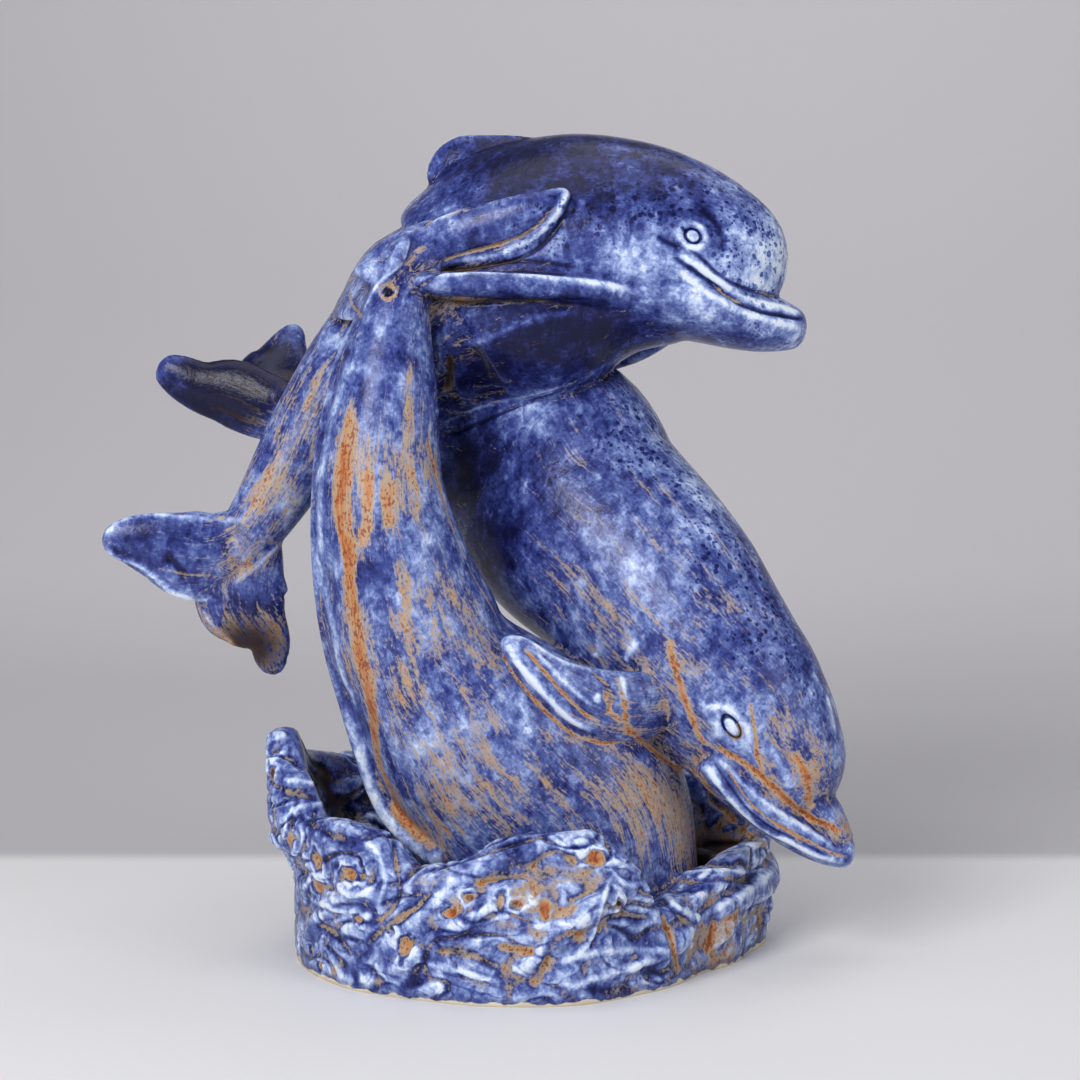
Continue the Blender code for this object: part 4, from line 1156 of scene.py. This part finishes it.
def mixGlaze():
    n = Nodes("mottled blue and rust glaze")
    place = n.tree.nodes.new("ShaderNodeTexCoord").outputs["Object"]
    run = n.stored("run", vector=True)
    pale, proud = n.stored("pale"), n.stored("proud")
    rust, dots, sea, free = n.stored("rust"), n.stored("dots"), n.stored("sea"), n.stored("free")

    onBody = n.calc("SUBTRACT", 1.0, sea)
    big = n.mottle(place, 30, 2, 0.5, 0.5)
    mid = n.mottle(n.stretched(place, (1, 1, 0.75)), 9, 2.5, 0.5, 0.3)
    blotch = n.mottle(n.stretched(place, (1, 1, 0.8)), 4.2, 3, 0.5, 0.5)
    small = n.mottle(place, 1.8, 3, 0.6)
    fine = n.mottle(n.stretched(run, (1, 1, 0.7)), 1.15, 2, 0.5)
    patchy = n.mottle(place, 5, 2, 0.5)
    hair = n.total(n.times(n.total(n.mottle(n.stretched(run, (1, 1, 0.085)), 0.9, 3, 0.6, 0.1), -0.5), onBody), 0.5)
    broadRun = n.mottle(n.stretched(run, (1, 1, 0.16)), 5.5, 4, 0.6, 0.3)
    broadRun = n.total(n.times(broadRun, onBody), n.times(n.mottle(place, 10, 3, 0.55), sea))

    # the ridges and channels of the waves
    swirl = n.calc("ABSOLUTE", n.stored("swirl"))
    lesser = n.calc("ABSOLUTE", n.stored("fineSwirl"))
    channel = n.bell(swirl, 0.0, 0.06)
    waveTone = n.total(
        (n.bell(swirl, 0.16, 0.08), 0.20), (n.between(swirl, 0.1, 0.3), 0.05), (channel, -0.30),
        (n.bell(lesser, 0.19, 0.09), 0.06), (n.bell(lesser, 0.0, 0.06), -0.12))

    # tone: 0 is the thick dark glaze, 1 where it is thin and white; through the stored paleness it also takes in the
    # painted highlights and painted shade
    crisp = n.total((n.between(pale, -0.60, 0.90), 1.3), -0.48)
    paint = n.total(n.times(pale, onBody), n.times(crisp, sea))
    drops = n.spots(n.stretched(run, (1, 1, 0.45)), 6.5, 0.20, patchy)
    tone = n.total(
        0.48, (big, 0.55, 0.5), (mid, 0.85, 0.5), (hair, 0.25, 0.5), (small, 0.45, 0.5), (paint, 0.36),
        (proud, 0.20), (n.times(waveTone, free), 1.0), (n.between(blotch, 0.53, 0.62), 0.10),
        (n.between(blotch, 0.46, 0.37), -0.11), (n.times(drops, onBody), 0.10))

    # dark dots where the glaze is speckled
    bent = n.tree.nodes.new("ShaderNodeVectorMath")
    bent.operation = "ADD"
    n.plug(bent.inputs[0], place)
    n.plug(bent.inputs[1], n.stretched(n.clouds(place, 2.5), (0.0012, 0.0012, 0.0012)))
    bent = bent.outputs[0]
    speck = n.calc("MAXIMUM", n.spots(bent, 4.4, 0.24, patchy), n.spots(bent, 2.2, 0.20, n.mottle(place, 8, 2)))
    speck = n.times(speck, n.between(n.total(dots, (mid, 1.6, 0.5)), 0.15, 0.75))
    tone = n.total(tone, (speck, -0.34))
    blue = n.ramp(tone, glaze["blues"])

    # rust: in runs, in creases, and where the glaze ran thin
    level = n.total(
        0.02, (rust, 0.80), (broadRun, 1.9, 0.5), (hair, 1.05, 0.5), (small, 0.7, 0.5), (fine, 0.4, 0.5),
        (proud, -0.20), (n.times(channel, free), 0.10), (n.times(pale, sea), -0.25))
    share = n.between(level, 0.10, 0.56)
    shade = n.total(0.02, (level, 0.66), (n.mottle(n.stretched(run, (1, 1, 0.3)), 2.6, 4, 0.65), 1.1, 0.5))
    ruddy = n.ramp(shade, glaze["rusts"])
    flecks = n.times(n.between(n.total(fine, (patchy, 0.5, 0.5)), 0.54, 0.60), n.between(level, 0.35, 0.75))
    ruddy = n.blend(n.times(flecks, 0.85), ruddy, (0.230, 0.050, 0.010, 1))
    # rust darkened to near black where the paleness is far below zero: in the glaze's dark grooves and pools, and
    # under the painted shade of the far flukes
    ruddy = n.blend(n.between(pale, -0.4, -1.5), ruddy, (0.030, 0.014, 0.008, 1))
    colour = n.blend(n.times(share, 0.94), blue, ruddy)

    # the bare clay of the foot, under a dark margin of glaze
    split = n.tree.nodes.new("ShaderNodeSeparateXYZ")
    n.tree.links.new(place, split.inputs[0])
    height = n.total(split.outputs["Z"], (n.mottle(place, 9, 2), -0.006, 0.5))
    margin = n.between(height, 0.0050, 0.0028)
    colour = n.blend(n.times(margin, 0.5), colour, (0.03, 0.035, 0.12, 1))
    bare = n.between(height, 0.0017, 0.0011)
    colour = n.blend(bare, colour, (*glaze["bareClay"], 1))

    low, high = glaze["rough"]
    gloss = n.total(low, (n.calc("MAXIMUM", share, n.calc("SUBTRACT", 0.6, small)), high - low), (bare, 0.35))
    bump = n.tree.nodes.new("ShaderNodeBump")
    bump.inputs["Strength"].default_value = 0.35
    bump.inputs["Distance"].default_value = 0.0006
    n.plug(bump.inputs["Height"], n.total((small, 0.6), (mid, 1.2), (blotch, 0.8), (share, -0.25), (speck, -0.2)))
    n.plug(n.shader.inputs["Base Color"], colour)
    n.plug(n.shader.inputs["Roughness"], gloss)
    n.plug(n.shader.inputs["Normal"], bump.outputs[0])
    n.shader.inputs["IOR"].default_value = 1.5
    n.shader.inputs["Specular IOR Level"].default_value = 0.2
    return n.material


def placeGroup(mesh):
    for polygon in mesh.polygons:
        polygon.use_smooth = True
    mesh.materials.clear()
    mesh.materials.append(mixGlaze())
    mesh.name = "dolphins over waves"
    group = bpy.data.objects.new("dolphins_over_waves", mesh)
    bpy.context.scene.collection.objects.link(group)
    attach(group, "root")
    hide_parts("dolphin_group")


placeGroup(final)
print("group glazed")

# ---- the plain floor, the wall behind it and soft studio light

studio = {
    "floor": (0.77, 0.765, 0.785),
    # the paper's colour by how far back it is, as a share of 2 metres; the grading is painted light that sets how
    # bright the backdrop looks from its foot to its top
    "wall": [
        (0.125, (0.485, 0.475, 0.500)), (0.375, (0.545, 0.533, 0.560)), (0.55, (0.595, 0.582, 0.612)),
        (0.73, (0.535, 0.522, 0.552))],
    "wallAt": 1.7, "bend": 0.9, "high": 1.1, "wide": 9.0, "near": -3.0,
    "lights": [
        # name, place, aimed at, size, watts, warmth
        ("key", (-0.9, -1.7, 1.15), (0, 0, 0.2), 1.0, 40, (1.0, 0.99, 0.97)),
        ("fill", (1.6, -1.2, 0.8), (0, 0, 0.2), 1.0, 9, (0.97, 0.98, 1.0)),
        ("top", (-0.2, -0.2, 1.9), (0, 0, 0.2), 1.2, 9, (1.0, 1.0, 1.0)),
        ("back", (0.5, 0.8, 1.7), (0.3, 1.6, 0.1), 1.2, 7, (1.0, 1.0, 1.0))],
    "surround": (0.75, 0.76, 0.80), "surroundStrength": 0.22,
}


def buildStudio():
    bm = bmesh.new()
    profile = [(studio["near"], 0.0), (-0.6, 0.0), (0.15, 0.0), (0.25, 0.0), (studio["wallAt"] - studio["bend"], 0.0)]
    for k in range(1, 17):
        turn = 0.5 * math.pi * k / 16
        profile.append((
            studio["wallAt"] - studio["bend"] + studio["bend"] * math.sin(turn),
            studio["bend"] * (1 - math.cos(turn))))
    profile.append((studio["wallAt"], studio["high"]))
    rows = []
    for y, z in profile:
        rows.append([bm.verts.new((x, y, z)) for x in np.linspace(-studio["wide"] / 2, studio["wide"] / 2, 9)])
    for lower, upper in zip(rows, rows[1:]):
        for a, b, c, d in zip(lower, lower[1:], upper[1:], upper):
            bm.faces.new((a, b, c, d)).smooth = True
    mesh = bpy.data.meshes.new("floor and wall")
    bm.to_mesh(mesh)
    bm.free()
    n = Nodes("plain paper")
    place = n.tree.nodes.new("ShaderNodeTexCoord").outputs["Object"]
    split = n.tree.nodes.new("ShaderNodeSeparateXYZ")
    n.tree.links.new(place, split.inputs[0])
    behind = n.between(split.outputs["Y"], 0.185, 0.215)
    # painted light: the wall colour is graded with distance to set the backdrop's brightness in place of the lamps'
    # fall-off
    wall = n.ramp(n.times(split.outputs["Y"], 0.5), studio["wall"])
    n.plug(n.shader.inputs["Base Color"], n.blend(behind, (*studio["floor"], 1), wall))
    n.shader.inputs["Roughness"].default_value = 0.6
    mesh.materials.append(n.material)
    floor = bpy.data.objects.new("floor_and_wall", mesh)
    bpy.context.scene.collection.objects.link(floor)
    for name, place, aim, size, watts, colour in studio["lights"]:
        data = bpy.data.lights.new(name, "AREA")
        data.size = size
        data.energy = watts
        data.color = colour
        lamp = bpy.data.objects.new(name, data)
        lamp.location = place
        lamp.rotation_euler = (Vector(aim) - Vector(place)).to_track_quat("-Z", "Y").to_euler()
        bpy.context.scene.collection.objects.link(lamp)
    world = bpy.data.worlds.new("studio")
    world.use_nodes = True
    background = world.node_tree.nodes["Background"]
    background.inputs[0].default_value = (*studio["surround"], 1)
    background.inputs[1].default_value = studio["surroundStrength"]
    bpy.context.scene.world = world
    bpy.context.scene.view_settings.view_transform = "Standard"


buildStudio()
print("studio built")

bpy.context.view_layer.update()
